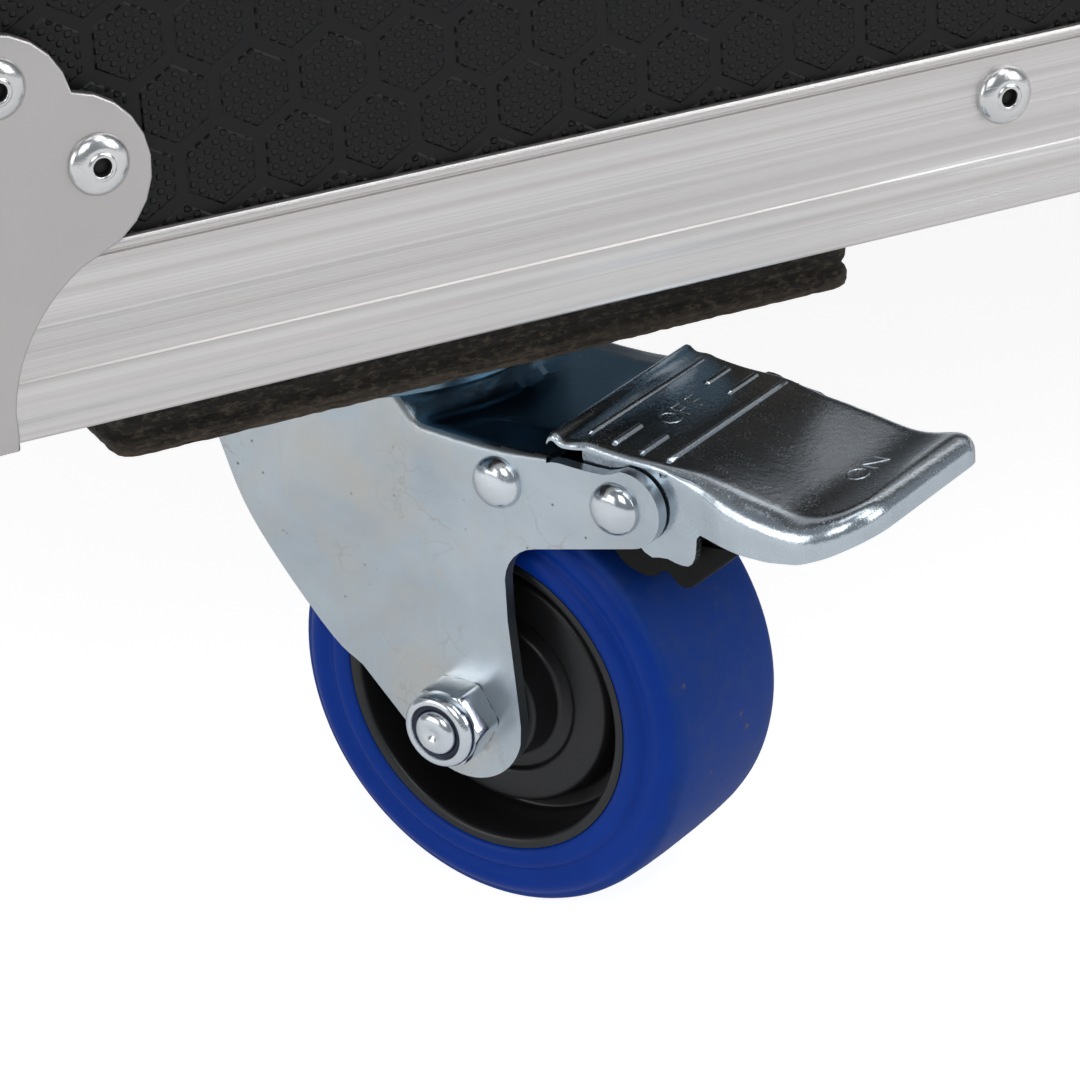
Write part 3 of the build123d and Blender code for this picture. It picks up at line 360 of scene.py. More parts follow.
MAT = {
    "alum_x": aluminium(0), "alum_y": aluminium(1), "alum_z": aluminium(2),
    "corner": satin_steel(),
    "rivet": zinc("rivet_zinc", (0.80, 0.80, 0.80), (0.56, 0.56, 0.56), 0.16, 0.30, scratch=1.0, bump=0.2),
    "bright": zinc("zinc_bright", (0.76, 0.80, 0.84), (0.52, 0.56, 0.60), 0.12, 0.24, scratch=0.6),
    "fork": zinc("fork_zinc", (0.57, 0.63, 0.675), (0.44, 0.50, 0.55), 0.24, 0.36, stain=0.85, scratch=0.3, bump=0.16),
    # painted shade: a darkened blue copy of the fork zinc for the fork's roof and the castor top plates, standing for
    # the board's shadow and its dark reflection
    "roof": zinc("fork_roof_painted_shade_zinc", (0.19, 0.28, 0.35), (0.12, 0.19, 0.25), 0.18, 0.28, scratch=0.2, bump=0.1),
    # painted shade: near-black fill for the rivets' bore walls and the mandrel plug inside them, standing for the dark
    # of the hole
    "bore": plastic("rivet_bore_painted_shade", (0.004, 0.004, 0.004), (0.010, 0.010, 0.010), 0.6),
    "pedal": zinc("pedal_zinc", (0.58, 0.645, 0.70), (0.44, 0.50, 0.555), 0.18, 0.28, scratch=0.2, specks=0.28, bump=0.25),
    "dish": zinc("dish_zinc", (0.66, 0.68, 0.70), (0.52, 0.54, 0.57), 0.26, 0.38, scratch=0.4),
    "latch": zinc("latch_zinc", (0.70, 0.72, 0.74), (0.52, 0.55, 0.58), 0.18, 0.30, scratch=0.6),
    "hinge": zinc("hinge_zinc", (0.64, 0.66, 0.68), (0.50, 0.53, 0.56), 0.26, 0.38, scratch=0.4),
    "ball": zinc("ball_steel", (0.72, 0.72, 0.72), (0.55, 0.55, 0.55), 0.08, 0.16, scratch=0.2),
    "laminate": laminate(), "lining": laminate("panel_plain", False),
    "board": board_wood(), "tyre": blue_rubber(),
    "hub": plastic("hub_black", (0.006, 0.006, 0.007), (0.013, 0.013, 0.014), 0.30),
    "brake": plastic("brake_black", (0.003, 0.003, 0.003), (0.007, 0.007, 0.007), 0.42, 0.2, level=0.14),
    "rubber": plastic("handle_rubber", (0.008, 0.008, 0.008), (0.016, 0.016, 0.016), 0.5, 0.3, 420.0),
    "nylon": plastic("nut_ring", (0.002, 0.006, 0.022), (0.003, 0.009, 0.034), 0.35),
    "foam": foam_mat(),
}


# -------------------------------------------------------------------- meshes
class Part:
    """Vertices and faces gathered in millimetres before they become an object."""

    def __init__(self):
        self.v, self.f, self.m = [], [], []
        self.count = 0
        self.layer = []

    def add(self, verts, faces, mat=0, layer=None):
        verts = np.asarray(verts, float).reshape(-1, 3)
        self.v.append(verts)
        base = self.count
        self.f += [[i + base for i in f] for f in faces]
        self.m += [mat] * len(faces)
        if layer is None:
            layer = np.zeros((len(verts), 3))
        self.layer.append(np.asarray(layer, float).reshape(-1, 3))
        self.count += len(verts)
        return self

    def merged(self, other, matrix=None, flip=False):
        v = np.concatenate(other.v)
        if matrix is not None:
            mt = np.array(matrix)
            v = v @ mt[:3, :3].T + mt[:3, 3]
        f = [list(reversed(q)) for q in other.f] if flip else other.f
        base = self.count
        self.v.append(v)
        self.f += [[i + base for i in q] for q in f]
        self.m += other.m
        self.layer.append(np.concatenate(other.layer))
        self.count += len(v)
        return self


def make(part, name, mats, body, nodes, matrix=M_CASE, smooth=True, weld=0.0, bevel=None, sharp=None, layer=None, scalar=None):
    """Turns a Part into an object in the row frame that rides on a body and stands for CAD nodes."""
    v = np.concatenate(part.v)
    mt = np.array(matrix)
    v = v @ mt[:3, :3].T + mt[:3, 3]
    me = bpy.data.meshes.new(name)
    me.from_pydata(v.tolist(), [], part.f)
    for m in mats:
        me.materials.append(MAT[m])
    me.polygons.foreach_set("material_index", part.m)
    if layer:
        at = me.attributes.new(layer, "FLOAT_VECTOR", "POINT")
        at.data.foreach_set("vector", np.concatenate(part.layer).astype(np.float32).ravel())
    if scalar:
        at = me.attributes.new(scalar, "FLOAT", "POINT")
        at.data.foreach_set("value", np.concatenate(part.layer)[:, 0].astype(np.float32))
    bm = bmesh.new()
    bm.from_mesh(me)
    if weld:
        bmesh.ops.remove_doubles(bm, verts=bm.verts, dist=weld * 0.001)
        bmesh.ops.dissolve_degenerate(bm, edges=bm.edges, dist=1e-7)
    bmesh.ops.recalc_face_normals(bm, faces=bm.faces)
    for f in bm.faces:
        f.smooth = smooth
    if sharp is not None:
        lim = math.radians(sharp)
        for e in bm.edges:
            if len(e.link_faces) == 2 and e.calc_face_angle(0) > lim:
                e.smooth = False
    bm.to_mesh(me)
    bm.free()
    me.update()
    o = bpy.data.objects.new(name, me)
    bpy.context.scene.collection.objects.link(o)
    if bevel:
        add_bevel(o, *bevel)
    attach(o, body)
    if nodes:
        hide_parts(*nodes)
    return o


def add_bevel(o, width, segments=2, angle=30, clamp=False):
    b = o.modifiers.new("edge", "BEVEL")
    b.width = width * 0.001
    b.segments = segments
    b.limit_method = "ANGLE"
    b.angle_limit = math.radians(angle)
    b.use_clamp_overlap = clamp
    b.harden_normals = True
    b.miter_outer = "MITER_ARC"


def refine(node, name, mats, bevel=0.3, segments=2, angle=32, choose=None, flat=0.6):
    """A finished copy of a CAD piece: merged faces, rounded edges and smooth shading."""
    src = NODES[node]
    me = bpy.data.meshes.new(name)
    bm = bmesh.new()
    bm.from_mesh(src.data)
    for lay in list(bm.loops.layers.float_vector.values()) if hasattr(bm.loops.layers, "float_vector") else []:
        bm.loops.layers.float_vector.remove(lay)
    bmesh.ops.remove_doubles(bm, verts=bm.verts, dist=3e-6)
    bmesh.ops.dissolve_degenerate(bm, edges=bm.edges, dist=1e-6)
    bmesh.ops.dissolve_limit(bm, angle_limit=math.radians(flat), verts=bm.verts, edges=bm.edges, delimit=set())
    bmesh.ops.recalc_face_normals(bm, faces=bm.faces)
    for f in bm.faces:
        f.smooth = True
        f.material_index = choose(f.calc_center_median() * 1000, f.normal) if choose else 0
    bm.to_mesh(me)
    bm.free()
    for at in list(me.attributes):
        if at.name == "custom_normal":
            me.attributes.remove(at)
    for m in mats:
        me.materials.append(MAT[m])
    o = bpy.data.objects.new(name, me)
    bpy.context.scene.collection.objects.link(o)
    if bevel:
        add_bevel(o, bevel, segments, angle)
    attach(o, body_of(src)[0])
    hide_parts(node)
    return o


def rounded(pts, r, closed=True, n=3):
    """Polyline with each corner replaced by a small arc."""
    pts = [np.array(p, float) for p in pts]
    out = []
    last = len(pts)
    for i, p in enumerate(pts):
        if not closed and i in (0, last - 1):
            out.append(tuple(p))
            continue
        a, b = pts[i - 1], pts[(i + 1) % last]
        da, db = a - p, b - p
        la, lb = np.linalg.norm(da), np.linalg.norm(db)
        k = min(r, 0.42 * la, 0.42 * lb)
        s, e = p + da / la * k, p + db / lb * k
        turn = abs(np.cross(da / la, db / lb))
        if turn < 0.06:
            out.append(tuple(p))
            continue
        for j in range(n + 1):
            t = j / n
            out.append(tuple((1 - t) ** 2 * s + 2 * t * (1 - t) * p + t * t * e))
    return out


def lathe(prof, n, closed=True, centre=(0, 0), phase=0.0):
    """Turns (radius, axial) points about the local Y axis through centre (x, z)."""
    prof = np.array(prof, float)
    k = len(prof)
    ang = np.linspace(0, 2 * math.pi, n, endpoint=False) + phase
    v = np.zeros((n, k, 3))
    v[:, :, 0] = centre[0] + np.cos(ang)[:, None] * prof[None, :, 0]
    v[:, :, 2] = centre[1] + np.sin(ang)[:, None] * prof[None, :, 0]
    v[:, :, 1] = prof[None, :, 1]
    faces = []
    for i in range(n):
        j = (i + 1) % n
        for a in range(k if closed else k - 1):
            b = (a + 1) % k
            faces.append([i * k + a, i * k + b, j * k + b, j * k + a])
    return v.reshape(-1, 3), faces


def sweep(rings, caps=True):
    """Closed rings of equal length joined one to the next, with flat ends."""
    k = len(rings[0])
    v = np.concatenate([np.asarray(r, float) for r in rings])
    faces = []
    for i in range(len(rings) - 1):
        for a in range(k):
            b = (a + 1) % k
            faces.append([i * k + a, i * k + b, (i + 1) * k + b, (i + 1) * k + a])
    if caps:
        faces.append(list(range(k - 1, -1, -1)))
        faces.append([(len(rings) - 1) * k + a for a in range(k)])
    return v, faces


def arc(cx, cy, r, a0, a1, n):
    return [(cx + r * math.cos(math.radians(a0 + (a1 - a0) * i / n)), cy + r * math.sin(math.radians(a0 + (a1 - a0) * i / n))) for i in range(n + 1)]


# ------------------------------------------------------------------- edging
SETB = 0.40          # the wide face lies this far behind the band along the arris


def leg():
    """Outer face of one leg, from the arris outwards, as (depth, distance from the arris)."""
    return [(0.0, 1.0), (0.0, 3.2), (0.06, 3.35), (0.06, 6.9), (0.0, 7.05), (0.0, 9.75), (0.05, 9.95), (SETB, 10.2), (SETB, 18.0), (SETB + 0.05, 18.2), (SETB, 18.4),
            (SETB, 27.7), (0.74, 27.9), (0.74, 28.1), (0.30, 28.3), (0.06, 28.6), (0.0, 29.0), (0.12, 29.5), (0.42, 29.85), (0.85, 30.0), (1.35, 29.95), (1.8, 29.6), (2.0, 29.0)]


def double_angle():
    """Closed section (a, b) of the double-angle edging, arris at the origin."""
    one = leg()
    inner = [(2.0, 10.5), (9.0, 10.5), (9.0, 24.0), (10.5, 24.0), (10.5, 10.5), (24.0, 10.5), (24.0, 9.0), (10.5, 9.0), (10.5, 2.0)]
    other = [(b, a) for a, b in reversed(one)]
    arris = arc(1.0, 1.0, 1.0, 270, 180, 4)[1:-1]
    return one + inner + other + arris


def rail_part(section, p0, p1, da, db, mitre0=0, mitre1=0):
    """Section swept from p0 to p1; a and b directions; a mitred end grows by the plan depth."""
    p0, p1, da, db = (np.array(v, float) for v in (p0, p1, da, db))
    run = (p1 - p0) / np.linalg.norm(p1 - p0)
    steps = 2
    rings = []
    for i in range(steps):
        ring = []
        for a, b in section:
            base = p0 + da * a + db * b
            if i == 0:
                q = base + run * (a * mitre0)
            else:
                q = base + (p1 - p0) - run * (a * mitre1)
            ring.append(q)
        rings.append(ring)
    return sweep(rings)


def frame_part(section, z, zdir):
    """Four mitred rails round the case at height z; a is the plan depth, b goes along zdir."""
    pt = Part()
    lines = [((0, 0), (LENGTH, 0), (0, 1), 0), ((LENGTH, DEPTH), (0, DEPTH), (0, -1), 0),
             ((LENGTH, 0), (LENGTH, DEPTH), (-1, 0), 1), ((0, DEPTH), (0, 0), (1, 0), 1)]
    for (x0, y0), (x1, y1), (nx, ny), m in lines:
        v, f = rail_part(section, (x0, y0, z), (x1, y1, z), (nx, ny, 0), (0, 0, zdir), 1, 1)
        pt.add(v, f, m)
    return pt


SEC = double_angle()
make(frame_part(SEC, 0.0, 1), "bottom_edging", ["alum_x", "alum_y"], "base", ["base_bottom_edges"], sharp=28)
make(frame_part(SEC, H, -1), "top_edging", ["alum_x", "alum_y"], "lid", ["lid_top_edges"], sharp=28)


def upright_part(z0, z1):
    pt = Part()
    for x, sx in ((0, 1), (LENGTH, -1)):
        for y, sy in ((0, 1), (DEPTH, -1)):
            v, f = rail_part(SEC, (x, y, z0), (x, y, z1), (sx, 0, 0), (0, sy, 0))
            pt.add(v, f, 0)
    return pt


make(upright_part(30.0, BASE_H - 25.0), "base_corner_posts", ["alum_z"], "base", ["base_upright_edges"], sharp=28)
make(upright_part(BASE_H + 25.0, H - 30.0), "lid_corner_posts", ["alum_z"], "lid", ["lid_upright_edges"], sharp=28)

# closure edging: (depth, height from the joint plane)
RIM_FACE = [(0.0, 0.55), (0.0, 3.0), (0.12, 3.3), (0.12, 6.6), (0.0, 6.9), (0.0, 9.2), (0.22, 9.6), (0.22, 22.9), (0.55, 23.1), (0.3, 23.3), (0.04, 23.7),
            (0.02, 24.2), (0.2, 24.75), (0.6, 25.0), (1.3, 24.95), (1.8, 24.6), (2.0, 24.1)]
RIM_IN = [(2.0, 9.0), (9.0, 9.0), (9.0, 14.0), (10.5, 14.0), (10.5, 0.0)]
SEC_BASE_RIM = RIM_FACE + RIM_IN + [(8.2, 0.0), (8.2, 4.6), (3.2, 4.6), (3.2, 0.0), (0.45, 0.0)]
SEC_LID_RIM = RIM_FACE + RIM_IN + [(6.4, 0.0), (6.1, -4.0), (3.9, -4.0), (3.6, 0.0), (0.45, 0.0)]


def rim_part(section, zdir):
    pt = Part()
    w = 43.2
    cuts = [(0.0, 200 - w, 1, 0), (200 + w, 600 - w, 0, 0), (600 + w, LENGTH, 0, 1)]
    for x0, x1, m0, m1 in cuts:
        v, f = rail_part(section, (x0, 0, BASE_H), (x1, 0, BASE_H), (0, 1, 0), (0, 0, zdir), m0, m1)
        pt.add(v, f, 0)
    for (a, b, nrm, m) in (((LENGTH, DEPTH), (0, DEPTH), (0, -1, 0), 0), ((LENGTH, 0), (LENGTH, DEPTH), (-1, 0, 0), 1), ((0, DEPTH), (0, 0), (1, 0, 0), 1)):
        v, f = rail_part(section, (*a, BASE_H), (*b, BASE_H), nrm, (0, 0, zdir), 1, 1)
        pt.add(v, f, m)
    return pt


make(rim_part(SEC_BASE_RIM, -1), "base_closure_edging", ["alum_x", "alum_y"], "base", ["base_rim_edges"], sharp=28)
make(rim_part(SEC_LID_RIM, 1), "lid_closure_edging", ["alum_x", "alum_y"], "lid", ["lid_rim_edges"], sharp=28)

# ------------------------------------------------------------------- panels
PITCH, ROW = 13.22, 11.45
HEX_U, HEX_V = 59.7, 48.8        # one cell's middle on the front, from the case corner
RAISE = 0.24


def honeycomb(u0, u1, v0, v1, holes, depth):
    """Bmesh of a panel in (u, v, w): the outer face is w = 0 with raised hexagons towards -w."""
    bm = bmesh.new()
    lay = bm.verts.layers.float_vector.new("weave")
    keys = {}

    def vert(u, v, w, inside, share):
        k = (round(u * 50), round(v * 50)) if share else None
        if share and k in keys:
            return keys[k]
        q = bm.verts.new((u, v, w))
        q[lay] = (u - HEX_U, v - HEX_V, inside)
        if share:
            keys[k] = q
        return q

    r_cell = PITCH / math.sqrt(3)
    rows0, rows1 = int((v0 - HEX_V) / ROW) - 2, int((v1 - HEX_V) / ROW) + 2
    cols0, cols1 = int((u0 - HEX_U) / PITCH) - 2, int((u1 - HEX_U) / PITCH) + 2
    for j in range(rows0, rows1 + 1):
        cv = HEX_V + j * ROW
        for i in range(cols0, cols1 + 1):
            cu = HEX_U + (i + 0.5 * (j % 2)) * PITCH
            if cu < u0 - 8 or cu > u1 + 8 or cv < v0 - 9 or cv > v1 + 9:
                continue
            ring = [(math.cos(math.radians(30 + 60 * k)), math.sin(math.radians(30 + 60 * k))) for k in range(6)]
            c = [vert(cu + a * r_cell, cv + b * r_cell, 0, 0, True) for a, b in ring]
            lo = [vert(cu + a * r_cell * 0.85, cv + b * r_cell * 0.85, 0, 0, False) for a, b in ring]
            hi = [vert(cu + a * r_cell * 0.795, cv + b * r_cell * 0.795, -RAISE, 1, False) for a, b in ring]
            for k in range(6):
                m = (k + 1) % 6
                try:
                    bm.faces.new((c[k], c[m], lo[m], lo[k]))
                except ValueError:
                    pass
                bm.faces.new((lo[k], lo[m], hi[m], hi[k]))
            bm.faces.new(hi)
    bmesh.ops.remove_doubles(bm, verts=bm.verts, dist=0.08)
    for co, no in (((u0, 0, 0), (-1, 0, 0)), ((u1, 0, 0), (1, 0, 0)), ((0, v0, 0), (0, -1, 0)), ((0, v1, 0), (0, 1, 0))):
        geom = bm.verts[:] + bm.edges[:] + bm.faces[:]
        bmesh.ops.bisect_plane(bm, geom=geom, plane_co=co, plane_no=no, clear_outer=True)
    for hu0, hu1, hv0, hv1 in holes:
        for co, no in (((hu0, 0, 0), (1, 0, 0)), ((hu1, 0, 0), (1, 0, 0)), ((0, hv0, 0), (0, 1, 0)), ((0, hv1, 0), (0, 1, 0))):
            near = [f for f in bm.faces if hu0 - 16 < f.calc_center_median().x < hu1 + 16 and hv0 - 16 < f.calc_center_median().y < hv1 + 16]
            geom = list({v for f in near for v in f.verts}) + list({e for f in near for e in f.edges}) + near
            bmesh.ops.bisect_plane(bm, geom=geom, plane_co=co, plane_no=no)
        dead = [f for f in bm.faces if hu0 < f.calc_center_median().x < hu1 and hv0 < f.calc_center_median().y < hv1]
        bmesh.ops.delete(bm, geom=dead, context="FACES")
    rim = [e for e in bm.edges if len(e.link_faces) == 1]
    ex = bmesh.ops.extrude_edge_only(bm, edges=rim)["geom"]
    down = [g for g in ex if isinstance(g, bmesh.types.BMVert)]
    for q in down:
        q.co.z = depth
        q[lay] = (0, 0, 0)
    back = [g for g in ex if isinstance(g, bmesh.types.BMEdge) and all(abs(q.co.z - depth) < 1e-6 for q in g.verts)]
    bmesh.ops.triangle_fill(bm, edges=back, use_beauty=True, normal=(0, 0, 1))
    return bm


def panel_piece(name, body, node, spots):
    """Joins honeycomb panels placed by matrices into one piece."""
    me = bpy.data.meshes.new(name)
    joined = bmesh.new()
    lay = joined.verts.layers.float_vector.new("weave")
    for (u0, u1, v0, v1, holes), mat4 in spots:
        bm = honeycomb(u0, u1, v0, v1, holes, 7.0)
        bm.transform(M_CASE @ mat4)
        tmp = bpy.data.meshes.new("tmp")
        bm.to_mesh(tmp)
        bm.free()
        joined.from_mesh(tmp)
        bpy.data.meshes.remove(tmp)
    bmesh.ops.recalc_face_normals(joined, faces=joined.faces)
    for f in joined.faces:
        f.smooth = False
    joined.to_mesh(me)
    joined.free()
    for m in ("laminate", "lining"):
        me.materials.append(MAT[m])
    o = bpy.data.objects.new(name, me)
    bpy.context.scene.collection.objects.link(o)
    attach(o, body)
    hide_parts(node)
    return o


def basis(origin, u, v, w):
    return Matrix(((u[0], v[0], w[0], origin[0]), (u[1], v[1], w[1], origin[1]), (u[2], v[2], w[2], origin[2]), (0, 0, 0, 1)))


FRONT = basis((0, 2.0 + RAISE, 0), (1, 0, 0), (0, 0, 1), (0, 1, 0))
BACK = basis((0, DEPTH - 2.0 - RAISE, 0), (1, 0, 0), (0, 0, 1), (0, -1, 0))
LEFT = basis((2.0 + RAISE, 0, 0), (0, 1, 0), (0, 0, 1), (1, 0, 0))
RIGHT = basis((LENGTH - 2.0 - RAISE, 0, 0), (0, 1, 0), (0, 0, 1), (-1, 0, 0))
TOP = basis((0, 0, H - 2.0 - RAISE), (1, 0, 0), (0, 1, 0), (0, 0, -1))
LW = 43.2
fr_holes = [(x - LW, x + LW, BASE_H - 67.2, 380.0) for x in (200.0, 600.0)]
lf_holes = [(x - LW, x + LW, 380.0, BASE_H + 21.2) for x in (200.0, 600.0)]
hd_hole = [(280 - 76.2, 280 + 76.2, 222 - 49.2, 222 + 49.2)]
E = 10.5
Z0, Z1, Z2, Z3 = E, BASE_H - 9.0, BASE_H + 9.0, H - E
panel_piece("base_front_honeycomb", "base", "base_front_panel", [((E, LENGTH - E, Z0, Z1, fr_holes), FRONT)])
panel_piece("base_back_honeycomb", "base", "base_back_panel", [((E, LENGTH - E, Z0, Z1, []), BACK)])
panel_piece("base_end_honeycomb", "base", "base_end_panels", [((E, DEPTH - E, Z0, Z1, hd_hole), LEFT), ((E, DEPTH - E, Z0, Z1, hd_hole), RIGHT)])
panel_piece("lid_front_honeycomb", "lid", "lid_front_panel", [((E, LENGTH - E, Z2, Z3, lf_holes), FRONT)])
panel_piece("lid_back_honeycomb", "lid", "lid_back_panel", [((E, LENGTH - E, Z2, Z3, []), BACK)])
panel_piece("lid_end_honeycomb", "lid", "lid_end_panels", [((E, DEPTH - E, Z2, Z3, []), LEFT), ((E, DEPTH - E, Z2, Z3, []), RIGHT)])
panel_piece("lid_top_honeycomb", "lid", "lid_top_panel", [((E, LENGTH - E, E, DEPTH - E, []), TOP)])
refine("base_floor_panel", "floor_board", ["lining"], 0.5)


# ------------------------------------------------------------- ball corners
def plate_outline(full, n_arc=10):
    """Edge of the corner plate from (41.5, -1.5) to (-1.5, 41.5) in the plane of its face."""
    def through(p, q, r):
        (ax, ay), (bx_, by_), (cx, cy) = p, q, r
        d = 2 * (ax * (by_ - cy) + bx_ * (cy - ay) + cx * (ay - by_))
        ux = ((ax * ax + ay * ay) * (by_ - cy) + (bx_ * bx_ + by_ * by_) * (cy - ay) + (cx * cx + cy * cy) * (ay - by_)) / d
        uy = ((ax * ax + ay * ay) * (cx - bx_) + (bx_ * bx_ + by_ * by_) * (ax - cx) + (cx * cx + cy * cy) * (bx_ - ax)) / d
        rr = math.hypot(ax - ux, ay - uy)
        t0, t1, t2 = (math.atan2(y - uy, x - ux) for x, y in (p, q, r))
        def norm(t, ref):
            while t - ref > math.pi:
                t -= 2 * math.pi
            while t - ref < -math.pi:
                t += 2 * math.pi
            return t
        t1 = norm(t1, t0)
        t2 = norm(t2, t1)
        return [(ux + rr * math.cos(t0 + (t2 - t0) * i / n_arc), uy + rr * math.sin(t0 + (t2 - t0) * i / n_arc)) for i in range(n_arc + 1)]

    half = [(41.5, -1.5), (41.5, 2.0)]
    if full:
        a1 = through((41.4, 6.1), (45.2, 17.7), (54.4, 27.2))
        a2 = through((57.8, 28.7), (67.2, 41.0), (55.5, 55.5))
        half += a1 + [(56.0, 27.9)] + a2
        mirror = [(b, a) for a, b in reversed(half)][1:]
    else:
        a1 = through((41.4, 6.1), (30.0, 30.0), (6.1, 41.4))
        half += a1
        mirror = [(2.0, 41.5), (-1.5, 41.5)]
    return half + mirror


def corner_part(full_under):
    """Pressed corner: three plates on the case's faces with the ball blown out of their meeting point."""
    t = 1.5
    c = np.array([12.0, 12.0, 12.0])
    pt = Part()
    frames = [(np.array([1, 0, 0.]), np.array([0, 0, 1.]), np.array([0, 1, 0.]), True),
              (np.array([0, 0, 1.]), np.array([0, 1, 0.]), np.array([1, 0, 0.]), True),
              (np.array([0, 1, 0.]), np.array([1, 0, 0.]), np.array([0, 0, 1.]), full_under)]

    def blown(p):
        inner = np.maximum(p, 1.3)
        d = p - inner
        ln = np.linalg.norm(d)
        if ln > 1e-9 and np.count_nonzero(np.abs(d) > 1e-9) > 1:
            p = inner + d / ln * 2.8
        w = p - c
        dist = np.linalg.norm(w)
        k = 20.88 / dist
        s = 0.06
        f = 0.5 * (1 + k + math.sqrt((k - 1) ** 2 + s * s))
        f -= 0.5 * (math.sqrt((1 - k) ** 2 + s * s) - abs(1 - k)) if abs(1 - k) > 0.35 else 0.0
        return c + w * f

    for u, v, w, full in frames:
        edge = np.array(plate_outline(full))
        n = len(edge)
        tang = np.gradient(edge, axis=0)
        nrm = np.stack([tang[:, 1], -tang[:, 0]], 1)
        nrm /= np.linalg.norm(nrm, axis=1)[:, None]
        ctr = np.array([-t, -t])
        e0 = edge - nrm * 0.55
        rel = e0 - ctr
        far = np.linalg.norm(rel, axis=1)
        ang = np.arctan2(rel[:, 1], rel[:, 0])
        ang[0], ang[-1] = 0.0, math.pi / 2
        keep = [0]
        for i in range(1, n - 1):
            if ang[i] > ang[keep[-1]] + 0.02 and ang[i] < math.pi / 2 - 0.01:
                keep.append(i)
        keep.append(n - 1)
        even = np.interp(np.arange(n), keep, ang[keep])
        rows = []
        steps = np.concatenate([np.linspace(0, 0.93, 30), [0.965]])
        for s in steps:
            turn = even + (ang - even) * max(0.0, (s - 0.93) / 0.07)
            rows.append([(ctr + far[k] * s * np.array([math.cos(a), math.sin(a)]), -t, True) for k, a in enumerate(turn)])
        rows.append([(p, -t, True) for p in edge - nrm * 0.55])
        for off, dep in ((0.22, -t + 0.07), (0.06, -t + 0.26), (0.0, -t + 0.55), (0.0, 0.0)):
            rows.append([(p, dep, False) for p in edge - nrm * off])
        verts = []
        for row in rows:
            for k, (p, dep, sph) in enumerate(row):
                q = p.copy()
                if k == 0:
                    q[1] = -t
                if k == n - 1:
                    q[0] = -t
                pos = u * q[0] + v * q[1] + w * (-t)
                pos = blown(pos)
                pos = pos + w * (dep + t)
                verts.append(pos)
        faces = []
        for i in range(len(rows) - 1):
            for k in range(n - 1):
                faces.append([i * n + k, i * n + k + 1, (i + 1) * n + k + 1, (i + 1) * n + k])
        pt.add(verts, faces, 0)
    return pt


def four_corners(one):
    """The same corner mirrored to the four corners of the plan."""
    pt = Part()
    pt.merged(one)
    pt.merged(one, Matrix(((-1, 0, 0, LENGTH), (0, 1, 0, 0), (0, 0, 1, 0), (0, 0, 0, 1))), True)
    pt.merged(one, Matrix(((1, 0, 0, 0), (0, -1, 0, DEPTH), (0, 0, 1, 0), (0, 0, 0, 1))), True)
    pt.merged(one, Matrix(((-1, 0, 0, LENGTH), (0, -1, 0, DEPTH), (0, 0, 1, 0), (0, 0, 0, 1))))
    return pt


low = corner_part(False)
high = Part().merged(corner_part(True), Matrix(((1, 0, 0, 0), (0, 1, 0, 0), (0, 0, -1, H), (0, 0, 0, 1))), True)
make(four_corners(low), "base_ball_corner_pressings", ["corner"], "base", ["base_ball_corners"], weld=0.02, sharp=40)
make(four_corners(high), "lid_ball_corner_pressings", ["corner"], "lid", ["lid_ball_corners"], weld=0.02, sharp=40)
refine("base_rim_corners", "base_rim_brackets", ["corner"], 0.35)
refine("lid_rim_corners", "lid_rim_brackets", ["corner"], 0.35)

# ------------------------------------------------------------------- rivets
HEAD = [(1.45, 3.0), (2.4, 3.0), (2.4, 0.45), (4.9, 0.45), (5.0, 0.2), (5.0, -0.25), (4.82, -0.62), (4.4, -1.05), (3.8, -1.42), (3.1, -1.66), (2.75, -1.72),
        (2.45, -1.66), (2.3, -1.72), (2.15, -1.92), (1.9, -2.0), (1.65, -1.95), (1.5, -1.8), (1.45, -1.5)]


def rivet_at(x, y, z, face):
    turn = {"front": 0, "back": 180, "left": -90, "right": 90}
    if face == "top":
        rot = Matrix.Rotation(math.radians(-90), 4, "X")
    else:
        rot = Matrix.Rotation(math.radians(turn[face]), 4, "Z")
    return Matrix.Translation((x, y, z)) @ rot


